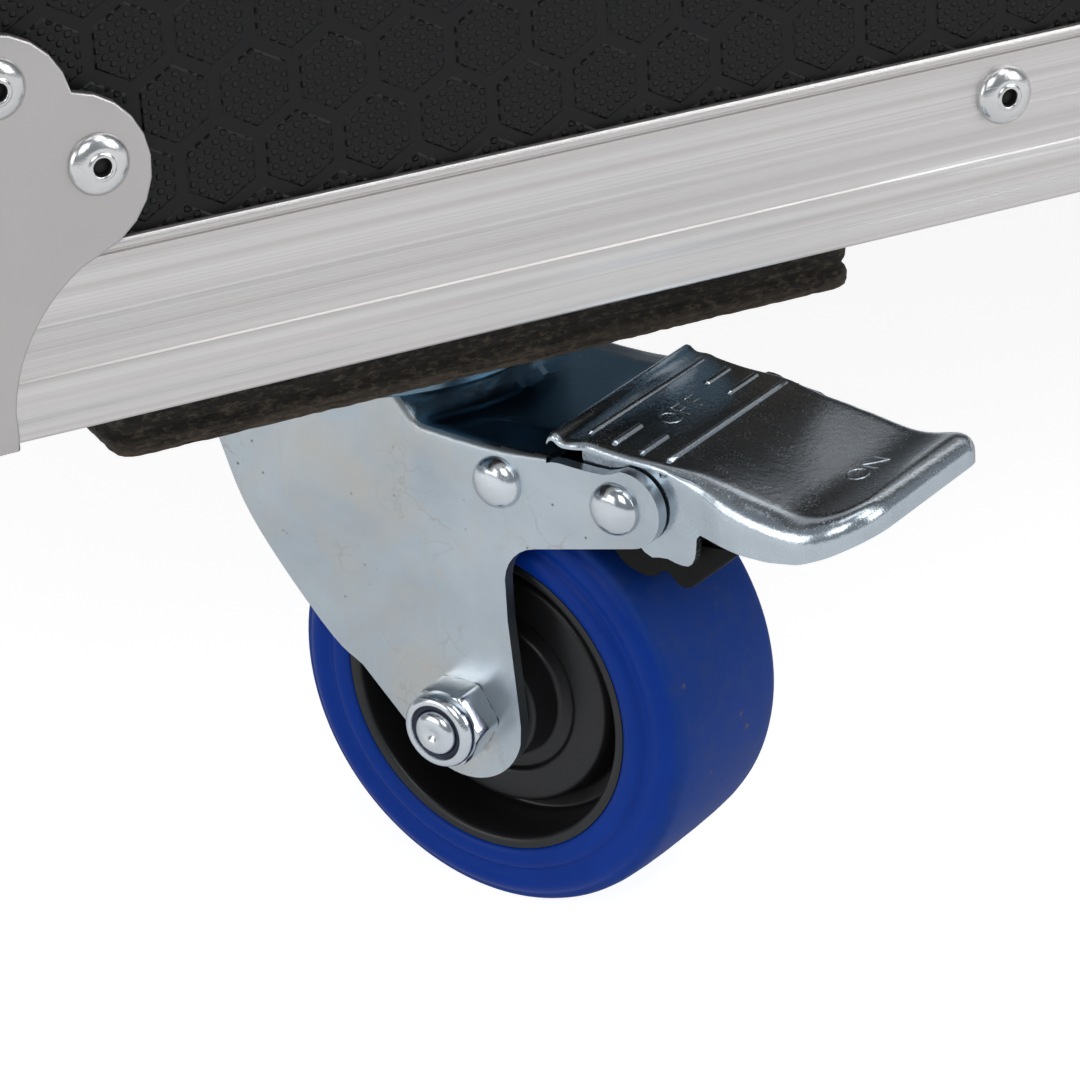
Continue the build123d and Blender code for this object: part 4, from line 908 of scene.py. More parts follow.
def rivet_places():
    base_r, lid_r = [], []
    ez = 20.7
    edge_x, edge_y = (217.4, 400.0, 582.6), (186.7, 373.3)
    for x in edge_x:
        for y, f in ((0, "front"), (DEPTH, "back")):
            base_r.append((x, y, ez, f))
            lid_r.append((x, y, H - ez, f))
        lid_r += [(x, ez, H, "top"), (x, DEPTH - ez, H, "top")]
    for y in edge_y:
        for x, f in ((0, "left"), (LENGTH, "right")):
            base_r.append((x, y, ez, f))
            lid_r.append((x, y, H - ez, f))
        lid_r += [(ez, y, H, "top"), (LENGTH - ez, y, H, "top")]
    for x in (100.0, 308.0, 400.0, 492.0, 700.0):
        for y, f in ((0, "front"), (DEPTH, "back")):
            base_r.append((x, y, BASE_H - 17, f))
            lid_r.append((x, y, BASE_H + 17, f))
    for y in (120.0, 280.0, 440.0):
        for x, f in ((0, "left"), (LENGTH, "right")):
            base_r.append((x, y, BASE_H - 17, f))
            lid_r.append((x, y, BASE_H + 17, f))
    for z in (150.0, 240.0):
        for sx, x, xf in ((1, 0, "left"), (-1, LENGTH, "right")):
            for sy, y, yf in ((1, 0, "front"), (-1, DEPTH, "back")):
                base_r += [(x + sx * ez, y, z, yf), (x, y + sy * ez, z, xf)]
    ct, sh = 1.5, 1.2
    for sx, x, xf in ((1, 0, "left"), (-1, LENGTH, "right")):
        for sy, y, yf in ((1, 0, "front"), (-1, DEPTH, "back")):
            for u, w in ((58.5, 43.3), (43.3, 58.5)):
                base_r += [(x + sx * u, y - sy * ct, w, yf), (x - sx * ct, y + sy * u, w, xf)]
                lid_r += [(x + sx * u, y - sy * ct, H - w, yf), (x - sx * ct, y + sy * u, H - w, xf), (x + sx * u, y + sy * w, H + ct, "top")]
            base_r += [(x + sx * 28, y - sy * sh, BASE_H - 36, yf), (x - sx * sh, y + sy * 28, BASE_H - 36, xf)]
            lid_r += [(x + sx * 28, y - sy * sh, BASE_H + 36, yf), (x - sx * sh, y + sy * 28, BASE_H + 36, xf)]
    for x in (200.0, 600.0):
        for dx in (-47, 47):
            base_r += [(x + dx, -sh, BASE_H - 60, "front"), (x + dx, -sh, BASE_H - 12, "front")]
            lid_r.append((x + dx, -sh, BASE_H + 14, "front"))
    for s, x, f in ((-1, 0, "left"), (1, LENGTH, "right")):
        for dy in (-82, 0, 82):
            for dz in (-54, 54):
                base_r.append((x + s * sh, DEPTH / 2 + dy, 222.0 + dz, f))
    for x in (180.0, 620.0):
        for dx in (-20, 20):
            base_r.append((x + dx, DEPTH + 1.6, BASE_H - 30, "back"))
            lid_r.append((x + dx, DEPTH + 1.6, BASE_H + 30, "back"))
    return base_r, lid_r


def rivets(places, name, body, node):
    v, f = lathe(HEAD, 40)
    k = len(HEAD)
    one = Part()
    one.add(v, [q for i, q in enumerate(f) if i % k != k - 1], 0)
    # the bore wall and the recessed plug, the mandrel's end, take the near-black fill, painted shade in the hole
    one.add(v, [q for i, q in enumerate(f) if i % k == k - 1], 1)
    v, f = lathe([(1.44, -0.55), (0.9, -0.75), (0.25, -0.8), (0.02, -0.8), (0.02, 2.9), (1.44, 2.9)], 24)
    one.add(v, f, 1)
    pt = Part()
    rng = np.random.default_rng(7)
    for p in places:
        spin = Matrix.Rotation(rng.uniform(0, 6.28), 4, "Y") @ Matrix.Rotation(math.radians(rng.uniform(-1.2, 1.2)), 4, "X")
        pt.merged(one, rivet_at(*p) @ spin)
    return make(pt, name, ["rivet", "bore"], body, [node], sharp=50, weld=0.001)


b_r, l_r = rivet_places()
rivets(b_r, "base_rivet_heads", "base", "base_rivets")
rivets(l_r, "lid_rivet_heads", "lid", "lid_rivets")

# --------------------------------------------------------------- castor parts
TYRE_HALF = [(28.6, 16.7), (28.9, 17.05), (29.5, 17.3), (30.4, 17.45), (31.4, 17.4), (32.1, 17.1), (32.6, 16.6), (33.0, 16.3), (33.6, 16.3), (34.3, 16.6), (35.2, 16.85), (36.1, 16.8),
             (36.9, 16.45), (37.5, 15.9), (37.9, 15.45), (38.3, 15.3), (38.7, 15.15), (39.1, 14.75), (39.4, 14.1), (39.62, 12.8), (39.85, 9.0), (39.97, 4.0)]
HUB_HALF = [(6.08, 19.6), (9.3, 19.6), (9.7, 19.3), (11.3, 18.5), (11.7, 18.0), (12.1, 12.4), (12.6, 11.9), (14.8, 11.5), (15.2, 11.7), (15.5, 12.4), (16.0, 12.65),
            (21.0, 12.1), (21.6, 11.8), (22.2, 10.7), (22.6, 6.5), (23.1, 5.8), (25.6, 5.6), (26.0, 6.2), (26.5, 15.9), (26.8, 16.6), (27.4, 16.9), (28.58, 16.9)]


def wheel(name):
    m = castor(name)
    c = (TRAIL, WHEEL_R)
    prof = [(r, y) for r, y in TYRE_HALF] + [(r, -y) for r, y in reversed(TYRE_HALF)]
    v, f = lathe(prof, 144, centre=c)
    rad = np.hypot(v[:, 0] - c[0], v[:, 2] - c[1])
    tread = np.clip((rad - 37.6) / 1.2, 0, 1)
    lay = np.stack([tread, tread, tread], 1)
    pt = Part().add(v, f, 0, lay)
    make(pt, name + "_tyre_rubber", ["tyre"], name + "_wheel", [name + "_tyre"], m, scalar="tread", sharp=60)
    prof = rounded(HUB_HALF + [(r, -y) for r, y in reversed(HUB_HALF)], 0.35, True, 2)
    v, f = lathe(prof, 112, centre=c)
    make(Part().add(v, f, 0), name + "_hub_moulding", ["hub"], name + "_wheel", [name + "_hub"], m, sharp=50)


def hexagon(r_corner, y0, y1, bore, cham, centre, end=1, n=96):
    """Hexagonal body turned about Y with its corners cut back by a chamfer cone at the end(s)."""
    ap = r_corner * math.cos(math.pi / 6)
    ang = np.linspace(0, 2 * math.pi, n, endpoint=False)
    fold = (ang % (math.pi / 3)) - math.pi / 6
    rad = ap / np.cos(fold)
    rad = np.minimum(rad, r_corner * 0.985)
    rows = []
    s = 1 if y1 > y0 else -1
    cut = np.clip(rad - cham, 0, None) * 0.55
    rows.append((np.full(n, bore), np.full(n, y0)))
    if end == 2:
        rows.append((np.full(n, cham - 0.2), np.full(n, y0)))
        rows.append((rad, y0 + s * cut))
    else:
        rows.append((rad - 0.15, np.full(n, y0)))
        rows.append((rad, np.full(n, y0 + s * 0.15)))
    rows.append((rad, y1 - s * cut - s * 0.25))
    rows.append((rad - 0.12, y1 - s * cut - s * 0.05))
    rows.append((np.full(n, cham - 0.2), np.full(n, y1)))
    rows.append((np.full(n, bore), np.full(n, y1)))
    k = len(rows)
    v = np.zeros((n, k, 3))
    for i, (r, y) in enumerate(rows):
        v[:, i, 0] = centre[0] + np.cos(ang) * r
        v[:, i, 2] = centre[1] + np.sin(ang) * r
        v[:, i, 1] = y
    faces = []
    for i in range(n):
        j = (i + 1) % n
        for a in range(k):
            b = (a + 1) % k
            faces.append([i * k + a, i * k + b, j * k + b, j * k + a])
    return v.reshape(-1, 3), faces


def axle(name):
    c = (TRAIL, WHEEL_R)
    pt = Part()
    # bolt with a domed, dimpled end and a hexagon head on the far side
    shank = [(0.02, -31.9), (0.5, -31.95), (0.9, -32.25), (1.3, -32.5), (2.2, -32.6), (3.1, -32.35), (3.7, -31.9), (3.98, -31.3), (3.98, 23.2), (0.02, 23.2)]
    pt.add(*lathe(shank, 48, centre=c))
    pt.add(*hexagon(7.5, 23.0, 28.3, 0.02, 6.4, c))
    sleeve = rounded([(4.1, -20.5), (5.98, -20.5), (5.98, 20.5), (4.1, 20.5)], 0.2)
    pt.add(*lathe(sleeve, 48, centre=c))
    # lock nut: hexagon, rounded collar, nylon ring
    pt.add(*hexagon(7.5, -23.0, -29.3, 4.05, 6.9, c, 2))
    collar = [(4.9, -28.8), (6.75, -28.8), (6.8, -29.6), (6.75, -30.3), (6.5, -30.95), (6.1, -31.4), (5.6, -31.62), (5.15, -31.55), (4.95, -31.2)]
    pt.add(*lathe(collar, 64, centre=c))
    ring = [(4.05, -29.0), (4.93, -29.0), (4.93, -31.0), (4.6, -31.15), (4.2, -31.1), (4.05, -30.9)]
    pt.add(*lathe(ring, 48, centre=c), 1)
    make(pt, name + "_axle_bolt_and_nut", ["bright", "nylon"], name + "_swivel", [name + "_axle_set"], castor(name), sharp=33)


def pivots(name):
    pt = Part()
    for x, z in ((41.4, 85.8), (64.8, 85.8)):
        half = [(2.98, 19.5), (2.98, 22.8), (4.5, 22.95), (4.62, 23.25), (4.5, 23.75), (4.1, 24.4), (3.4, 24.95), (2.5, 25.35), (1.4, 25.55), (0.02, 25.6)]
        for s in (1, -1):
            prof = [(0.02, s * 19.5)] + [(r, s * y) for r, y in half]
            pt.add(*lathe(prof, 48, centre=(x, z)))
        pt.add(*lathe([(0.02, -20), (2.98, -20), (2.98, 20), (0.02, 20)], 32, centre=(x, z)))
    make(pt, name + "_fork_rivets", ["bright"], name + "_swivel", [name + "_pivot_rivets"], castor(name), sharp=45)


def through(p, q, r, n=10):
    """Arc from p to r by way of q, as points."""
    (ax, ay), (bx_, by_), (cx, cy) = p, q, r
    d = 2 * (ax * (by_ - cy) + bx_ * (cy - ay) + cx * (ay - by_))
    ux = ((ax * ax + ay * ay) * (by_ - cy) + (bx_ * bx_ + by_ * by_) * (cy - ay) + (cx * cx + cy * cy) * (ay - by_)) / d
    uy = ((ax * ax + ay * ay) * (cx - bx_) + (bx_ * bx_ + by_ * by_) * (ax - cx) + (cx * cx + cy * cy) * (bx_ - ax)) / d
    rr = math.hypot(ax - ux, ay - uy)
    t0, t1, t2 = (math.atan2(y - uy, x - ux) for x, y in (p, q, r))
    t1 += 2 * math.pi * round((t0 - t1) / (2 * math.pi))
    t2 += 2 * math.pi * round((t1 - t2) / (2 * math.pi))
    return [(ux + rr * math.cos(t0 + (t2 - t0) * i / n), uy + rr * math.sin(t0 + (t2 - t0) * i / n)) for i in range(n + 1)]


def curve(xs, ys, x):
    """Smooth line through the points, evaluated at x."""
    xs, ys, x = np.array(xs, float), np.array(ys, float), np.asarray(x, float)
    slope = np.gradient(ys, xs)
    i = np.clip(np.searchsorted(xs, x) - 1, 0, len(xs) - 2)
    h = xs[i + 1] - xs[i]
    t = np.clip((x - xs[i]) / h, 0, 1)
    return ((2 * t ** 3 - 3 * t ** 2 + 1) * ys[i] + (t ** 3 - 2 * t ** 2 + t) * h * slope[i]
            + (3 * t ** 2 - 2 * t ** 3) * ys[i + 1] + (t ** 3 - t ** 2) * h * slope[i + 1])


def shell(pt, thick, outside):
    """Gives an open sheet its thickness on the side away from the point outside."""
    bm = bmesh.new()
    vs_ = [bm.verts.new(q) for q in np.concatenate(pt.v)]
    for f in pt.f:
        try:
            bm.faces.new([vs_[i] for i in f])
        except ValueError:
            pass
    bmesh.ops.remove_doubles(bm, verts=bm.verts, dist=0.004)
    bmesh.ops.dissolve_degenerate(bm, edges=bm.edges, dist=1e-4)
    bmesh.ops.recalc_face_normals(bm, faces=bm.faces)
    ref = Vector(outside)
    near = min(bm.faces, key=lambda f: (f.calc_center_median() - ref).length)
    if (ref - near.calc_center_median()).dot(near.normal) < 0:
        bmesh.ops.reverse_faces(bm, faces=bm.faces)
    bm.normal_update()
    bm.verts.index_update()
    n = len(bm.verts)
    outer = [tuple(q.co) for q in bm.verts]
    inner = [tuple(q.co - q.normal * thick) for q in bm.verts]
    faces = [[q.index for q in f.verts] for f in bm.faces]
    back = [[i + n for i in reversed(f)] for f in faces]
    rim = []
    for e in bm.edges:
        if len(e.link_faces) == 1:
            lp = e.link_loops[0]
            a, b = lp.vert.index, lp.link_loop_next.vert.index
            rim.append([b, a, a + n, b + n])
    bm.free()
    return Part().add(outer + inner, faces + back + rim, 0)


# -------------------------------------------------------------- fork pressing
def race(r, y):
    """Rise of the ball race round the king pin above the fork's roof; it runs out into the flanks."""
    def ease(t):
        t = np.clip(t, 0, 1)
        return t * t * (3 - 2 * t)
    return 5.3 * ease((34.5 - r) / 4.9) * np.maximum(ease((r - 26.4) / 1.6), ease((np.abs(y) - 20.3) / 1.0))


def fork_part(braked):
    ts = np.linspace(0, 1, 53)
    xs_roof = -19.0 + ts * ((51.5 if braked else 31.0) + 19.0)
    corner_z = curve([-20, 20, 22.4, 27.4, 32.5, 37.6, 42.6, 52], [93.5, 93.5, 93.5, 93.2, 92.7, 92.35, 92.05, 92.3], xs_roof)
    inner_y = curve([-20, 22, 30, 36.6, 47, 52], [18.4, 18.2, 17.4, 16.2, 15.3, 15.2], xs_roof)
    b = np.interp(xs_roof, [38, 51.5], [2.2, 0.9])
    rows = []                      # each: y, z, share of the race's rise
    for z, k in ((84.0, 0.0), (86.0, 0.4), (88.0, 0.85)):
        rows.append((np.full(53, -23.0), np.full(53, z), k))
    for t in np.linspace(0, 1, 8):
        slope = (93.5 - corner_z) / (23.0 - inner_y)
        p0y, p0z = np.full(53, -23.0), corner_z - b
        p2y, p2z = -23.0 + b, corner_z + slope * b
        y = (1 - t) ** 2 * p0y + 2 * t * (1 - t) * -23.0 + t * t * p2y
        z = (1 - t) ** 2 * p0z + 2 * t * (1 - t) * corner_z + t * t * p2z
        rows.append((y, z, 1.0))
    for t in (0.35, 0.7, 0.97):
        slope = (93.5 - corner_z) / (23.0 - inner_y)
        y = (-23.0 + b) * (1 - t) - inner_y * t
        rows.append((y, corner_z + slope * (23.0 + y), 1.0))
    for t in list(np.linspace(0.012, 1, 14)):
        rows.append((-inner_y * (1 - t), np.full(53, 93.5), 1.0))
    full = rows + [(-y, z, k) for y, z, k in reversed(rows[:-1])]
    grid = []
    for y, z, k in full:
        nominal = np.mean(z)
        xl = np.interp(nominal, [84, 93.5], [-17.9, -19.0])
        xr = 51.5 if braked else np.interp(nominal, [84, 86, 88, 91, 92.5, 93.5], [39.2, 38, 36.6, 34, 32.3, 31])
        x = xl + ts * (xr - xl)
        grid.append(np.stack([x, y, z + k * race(np.hypot(x, y), y)], 1))
    grid = np.array(grid)
    m, n = grid.shape[:2]
    faces = []
    for i in range(m - 1):
        for j in range(n - 1):
            mid = (grid[i, j] + grid[i + 1, j + 1]) / 2
            if math.hypot(mid[0], mid[1]) < 7.4:
                continue
            faces.append([i * n + j, i * n + j + 1, (i + 1) * n + j + 1, (i + 1) * n + j])
    pt = Part().add(grid, faces)
    spline = curve([0, 1, 2, 3, 4], [10.1, 4.0, -6.3, -13.2, -17.7], np.linspace(0, 4, 17)), curve([0, 1, 2, 3, 4], [44.3, 48.5, 60.4, 70.7, 82.4], np.linspace(0, 4, 17))
    low = ([(41.6, 60.0), (42.7, 44.0), (42.9, 40.0)] + through((42.9, 38.0), (31.6, 27.8), (21.2, 32.7), 20)[1:] + list(zip(*spline)))
    if braked:
        arm = [(51.9, 91.45), (52.6, 91.7), (54.0, 91.8), (57.0, 91.6), (60.0, 91.45), (62.8, 91.5), (64.6, 92.0)] + through((66.2, 92.75), (73.4, 86.4), (67.9, 79.2), 18) + [(58.0, 77.0), (48.0, 74.8)] + through((48.0, 74.8), (43.2, 71.8), (41.6, 66.0), 7)[1:]
        up = [(51.5, 86.0), (51.5, 88.0), (51.5, float(corner_z[-1] - b[-1]))]
    else:
        arm, up = [(40.7, 80.0), (41.6, 76.0)], []
    for side in (0, m - 1):
        y = -23.0 if side == 0 else 23.0
        ring = [tuple(q) for q in grid[side]] + [(x, y, z) for x, z in up + arm + low]
        pt.add(ring, [list(range(len(ring)))])
    out = shell(pt, 2.3, (20.0, 0.0, 140.0))
    ring = [(6.35, 90.85), (6.35, 93.3), (6.6, 93.6), (9.6, 93.6), (9.9, 93.35), (27.0, 93.35), (27.35, 93.9), (27.5, 98.6), (28.1, 99.15), (29.7, 99.15), (30.35, 98.7),
            (30.4, 91.5), (29.7, 90.85)]
    v, f = lathe(ring, 96)
    v = v[:, [0, 2, 1]]
    outer = np.abs(v[:, 1]) > 22.85
    v[outer, 2] = np.minimum(v[outer, 2], 93.3)
    v[:, 1] = np.clip(v[:, 1], -22.85, 22.85)
    out.add(v, f)
    # faces of the roof and race take the second slot, the darkened zinc that paints the shade under the board
    pts = np.concatenate(out.v)
    for i, q in enumerate(out.f):
        mid = pts[q].mean(0)
        if mid[2] > 90.0 and abs(mid[1]) < 22.25 and mid[0] < 51.6:
            out.m[i] = 1
    return out


FORK_PARTS = {True: fork_part(True), False: fork_part(False)}


# ---------------------------------------------------------------- lock pedal
TOP_X = [50.55, 50.9, 51.4, 52.0, 52.7, 53.5, 55.0, 58.0, 60.0, 63.0, 67.0, 70.0, 74.0, 78.4, 83.0, 88.0, 92.0, 95.0, 98.0, 101.0, 104.0, 106.5, 110.2]
TOP_Z = [95.05, 95.6, 95.95, 95.9, 95.35, 95.05, 95.1, 95.1, 94.85, 94.5, 94.3, 94.2, 93.75, 93.2, 92.35, 91.3, 90.5, 90.0, 89.85, 90.2, 91.0, 92.0, 93.4]
SHEET_T = 1.3


def pedal_top(x):
    return curve(TOP_X, TOP_Z, x)


def bead(path, width, height, closed=False):
    """A line pressed up out of the pedal's top along a plan path."""
    path = np.array(path, float)
    n = len(path)
    sec = [(-0.5, -0.35), (-0.36, 0.45), (-0.16, 0.92), (0.0, 1.0), (0.16, 0.92), (0.36, 0.45), (0.5, -0.35)]
    rings = []
    for i in range(n):
        a, b = (path[i - 1], path[(i + 1) % n]) if closed else (path[max(i - 1, 0)], path[min(i + 1, n - 1)])
        d = (b - a) / np.linalg.norm(b - a)
        nrm = np.array([-d[1], d[0]])
        size = 1.0
        if not closed and i in (0, n - 1):
            size = 0.25
        ring = []
        for s, h in sec:
            q = path[i] + nrm * s * width * size
            ring.append((q[0], q[1], float(pedal_top(q[0])) + h * height * (size if h > 0 else 1)))
        rings.append(ring)
    v, f = sweep(rings, caps=not closed)
    if closed:
        k = len(sec)
        for a in range(k):
            b = (a + 1) % k
            f.append([(n - 1) * k + a, (n - 1) * k + b, b, a])
    return v, f


def stroke(p, q, n=8):
    """Straight plan path with short tapered ends."""
    p, q = np.array(p, float), np.array(q, float)
    ln = np.linalg.norm(q - p)
    ts = [0, min(0.25, 0.5 / ln)] + list(np.linspace(0.1, 0.9, n)) + [1 - min(0.25, 0.5 / ln), 1]
    return [p + (q - p) * t for t in sorted(set(ts))]


def pedal_part():
    half = []
    for x in np.concatenate([[50.55, 50.8, 51.1, 51.5, 52.0, 52.5, 53.0, 53.6], np.arange(54.4, 94.01, 1.1)]):
        w = np.interp(x, [50, 56, 58, 76, 80, 84, 88, 110], [21.2, 21.2, 20.3, 20.3, 20.7, 21.7, 22.3, 22.3])
        half.append((x, w, 0.0, 1.0, x, 0.0))

    def toe(radius):
        """Outline from the straight side round one front corner; the far one is the tighter."""
        out_ = [(x, 22.3, 0.0, 1.0, 94.0, 0.0) for x in np.linspace(95.0, 109.9 - radius, 3 + int(12.0 - radius))[:-1]]
        for a in np.linspace(90, 0, 17):
            c, si = math.cos(math.radians(a)), math.sin(math.radians(a))
            out_.append((109.9 - radius + radius * c, 22.3 - radius + radius * si, c, si, 94.0, 0.0))
        for y in np.linspace(22.3 - radius, 0.0, 5)[1:-1]:
            out_.append((109.9, y, 1.0, 0.0, 94.0, 0.0))
        return out_

    rays = [(x, -y, nx, -ny, tx, 0.0) for x, y, nx, ny, tx, _ in half + toe(12.0)] + [(109.9, 0.0, 1.0, 0.0, 94.0, 0.0)] + list(reversed(half + toe(7.5)))
    cols = []
    for x, y, nx, ny, tx, ty in rays:
        r = float(np.interp(x, [50, 73, 80, 86], [1.05, 1.3, 3.2, 4.4]))
        top = float(pedal_top(x))
        if x < 73.5:
            zb = top - SHEET_T
        else:
            zb = float(np.interp(x, [73.5, 75.0, 76.5, 78.0, 79.5, 83.0, 86.0, 89.0, 93.5, 99.4, 104.0, 109.9], [92.5, 90.4, 87.0, 84.2, 83.3, 82.9, 82.5, 82.2, 82.1, 82.9, 84.5, 87.2]))
        col = []
        for t in (0.0, 0.12, 0.4, 0.7):
            col.append((x, y, zb + (top - r - zb) * t))
        for a in np.linspace(0, 90, 9):
            d = r * (1 - math.cos(math.radians(a)))
            px, py = x - nx * d, y - ny * d
            col.append((px, py, float(pedal_top(px)) - r * (1 - math.sin(math.radians(a)))))
        px, py = x - nx * r, y - ny * r
        for t in (0.06, 0.14, 0.25, 0.4, 0.55, 0.7, 0.85, 1.0):
            qx, qy = px + (tx - px) * t, py + (ty - py) * t
            col.append((qx, qy, float(pedal_top(qx))))
        cols.append(col)
    g = np.array(cols)
    m, n = g.shape[:2]
    faces = []
    for i in range(m - 1):
        for j in range(n - 1):
            faces.append([i * n + j, i * n + j + 1, (i + 1) * n + j + 1, (i + 1) * n + j])
    out = shell(Part().add(g, faces), SHEET_T, (80.0, 0.0, 140.0))
    # cheeks between the fork's arms
    line = ([(57.0, 94.2), (56.9, 92.6), (57.4, 90.0), (58.5, 84.0), (62.0, 80.0), (67.2, 78.6), (68.4, 77.5)] + [(69.8, 76.9), (71.2, 77.2), (72.8, 77.3), (74.3, 76.9), (75.6, 76.7), (76.8, 76.8), (77.6, 77.4), (78.1, 78.4),
            (78.4, 79.6), (78.7, 82.2), (79.4, 83.0), (81.5, 83.2), (81.5, 91.0), (78.4, 92.4), (74.0, 93.0), (67.0, 93.5), (60.0, 94.1)])
    for y0, y1 in ((-20.15, -18.6), (18.6, 20.15)):
        k = len(line)
        v = [(x, y0, z) for x, z in line] + [(x, y1, z) for x, z in line]
        f = [list(range(k)), list(range(2 * k - 1, k - 1, -1))] + [[a, (a + 1) % k, k + (a + 1) % k, k + a] for a in range(k)]
        out.add(v, f)
    beads = []
    for x, y0, y1 in ((56.3, -17.0, 18.0), (61.5, -17.8, -8.9), (67.3, -18.3, -10.1), (61.8, 9.9, 17.7), (67.0, 8.9, 18.1), (72.5, -18.4, 18.6)):
        beads.append(bead(stroke((x, y0), (x, y1), 14), 1.5, 0.55))
    # OFF and ON, read from the side
    o1 = [(63.9 + 1.9 * math.sin(t), -4.1 + 1.75 * math.cos(t)) for t in np.linspace(0, 2 * math.pi, 25)[:-1]]
    beads.append(bead(o1, 0.50, 0.15, True))
    for y in (-1.1, 3.0):
        beads += [bead(stroke((65.8, y), (62.0, y)), 0.50, 0.15), bead(stroke((62.0, y), (62.0, y + 2.9)), 0.50, 0.15), bead(stroke((63.7, y), (63.7, y + 2.3)), 0.50, 0.15)]
    o2 = [(97.9 + 1.75 * math.sin(t), -0.6 + 2.1 * math.cos(t)) for t in np.linspace(0, 2 * math.pi, 25)[:-1]]
    beads.append(bead(o2, 0.50, 0.15, True))
    beads += [bead(stroke((99.8, 2.7), (96.4, 2.7)), 0.50, 0.15), bead(stroke((96.4, 2.7), (99.8, 6.6)), 0.50, 0.15), bead(stroke((99.8, 6.6), (96.4, 6.6)), 0.50, 0.15)]
    for v, f in beads:
        out.add(v, f)
    return out


PEDAL_PART = pedal_part()


# ---------------------------------------------------------------- brake lever
def brake_part():
    """Black lever on the rear pivot: an eye, a curved pad over the tread and a lobed nose between the pedal's cheeks."""
    pt = Part()
    eye = rounded([(3.1, -18.0), (4.3, -18.0), (4.3, 18.0), (3.1, 18.0)], 0.2)
    pt.add(*lathe(eye, 40, centre=(41.4, 85.8)))
    c = (TRAIL, WHEEL_R)
    pad = [(c[0] + 43.2 * math.cos(math.radians(a)), c[1] + 43.2 * math.sin(math.radians(a))) for a in np.linspace(78, 58, 9)]
    nose = [(57.6, 77.4), (59.0, 75.4), (60.2, 73.4), (61.8, 72.0), (63.7, 71.3), (65.8, 70.8), (67.2, 71.0), (68.4, 71.9), (69.4, 72.6), (70.3, 72.3), (71.2, 71.3), (72.2, 70.5), (73.3, 70.2), (74.6, 70.6), (75.8, 71.6),
            (80.0, 75.1), (84.0, 78.6), (83.7, 80.2), (79.0, 80.4), (76.6, 79.8)]
    back = [(70.0, 80.6), (63.0, 81.4), (56.0, 84.8), (50.0, 87.5), (44.5, 88.5), (43.2, 84.0)]
    line = rounded(pad + nose + back, 0.5, True, 2)
    k = len(line)
    w = 16.6
    rings = [[(x, y, z) for x, z in line] for y in (-w, w)]
    v = np.array(rings).reshape(-1, 3)
    f = [list(range(k)), list(range(2 * k - 1, k - 1, -1))] + [[a, (a + 1) % k, k + (a + 1) % k, k + a] for a in range(k)]
    pt.add(v, f)
    return pt


BRAKE_PART = brake_part()


# --------------------------------------------------------------- castor boards
def block_part():
    """Four castor boards: two glued layers with a worn groove between them and a soft lower arris."""
    rng = np.random.default_rng(11)
    prof = [(0.0, 0.25), (-0.4, 0.0), (-3.0, 0.0), (-5.6, 0.0), (-7.3, 0.05), (-8.2, 0.3), (-8.9, 0.8), (-9.5, 0.85), (-10.1, 0.45), (-10.7, 0.08), (-11.3, 0.0), (-12.0, 0.05), (-12.6, 0.12), (-13.05, 0.35), (-13.3, 0.7),
            (-13.4, 1.2), (-13.4, 6.0)]
    pt = Part()
    for left in (True, False):
        for front_ in (True, False):
            x0 = 62.0 if left else LENGTH - 62.0 - 133.9
            y0 = 13.6 if front_ else DEPTH - 13.6 - 98.8
            x1, y1 = x0 + 133.9, y0 + 98.8
            base_line = []
            r = 4.0
            for cx, cy, a0 in ((x1 - r, y0 + r, -90), (x1 - r, y1 - r, 0), (x0 + r, y1 - r, 90), (x0 + r, y0 + r, 180)):
                base_line += [((cx + r * math.cos(math.radians(a0 + a)), cy + r * math.sin(math.radians(a0 + a))), (math.cos(math.radians(a0 + a)), math.sin(math.radians(a0 + a)))) for a in np.linspace(0, 90, 5)]
            dense = []
            for (p, n0), (q, n1) in zip(base_line, base_line[1:] + base_line[:1]):
                steps = max(1, int(math.hypot(q[0] - p[0], q[1] - p[1]) / 1.3))
                for i in range(steps):
                    t = i / steps
                    dense.append((p[0] + (q[0] - p[0]) * t, p[1] + (q[1] - p[1]) * t, n0[0] + (n1[0] - n0[0]) * t, n0[1] + (n1[1] - n0[1]) * t))
            dense = np.array(dense)
            k = len(dense)
            rough = rng.normal(0, 1, (len(prof), k))
            rough = (rough + np.roll(rough, 1, 1) + np.roll(rough, -1, 1)) / 3
            rings = []
            for i, (z, inset) in enumerate(prof):
                wob = 0.0 if z > -0.3 else (0.10 if z > -7 else 0.26)
                d = inset + np.abs(rough[i]) * wob
                zz = z + (np.abs(rough[i]) * 0.12 if -13.39 < z < -12.5 else 0.0) * np.ones(k)
                rings.append(np.stack([dense[:, 0] - dense[:, 2] * d, dense[:, 1] - dense[:, 3] * d, zz], 1))
            v, f = sweep(rings)
            pt.add(v, f)
    return pt


make(block_part(), "castor_blocks", ["board"], "base", ["castor_boards"], sharp=75)

for n in CASTORS:
    wheel(n)
    axle(n)
    lock = n.startswith("front")
    make(FORK_PARTS[lock], n + "_fork_pressing", ["fork", "roof"], n + "_swivel", [n + "_fork"], castor(n), sharp=42, bevel=(0.3, 2, 42, True))
    if lock:
        pivots(n)
        make(BRAKE_PART, n + "_brake_lever", ["brake"], n + "_brake", [n + "_brake_shoe"], castor(n), sharp=35, bevel=(0.8, 3, 50))
        make(PEDAL_PART, n + "_brake_pedal", ["pedal"], n + "_pedal", [n + "_pedal"], castor(n), sharp=38)
# the top plates wear the darkened roof zinc, painted shade under the board
refine("castor_top_plates", "castor_plates", ["roof"], 0.35)
refine("castor_bolts", "castor_bolt_heads", ["bright"], 0.2)


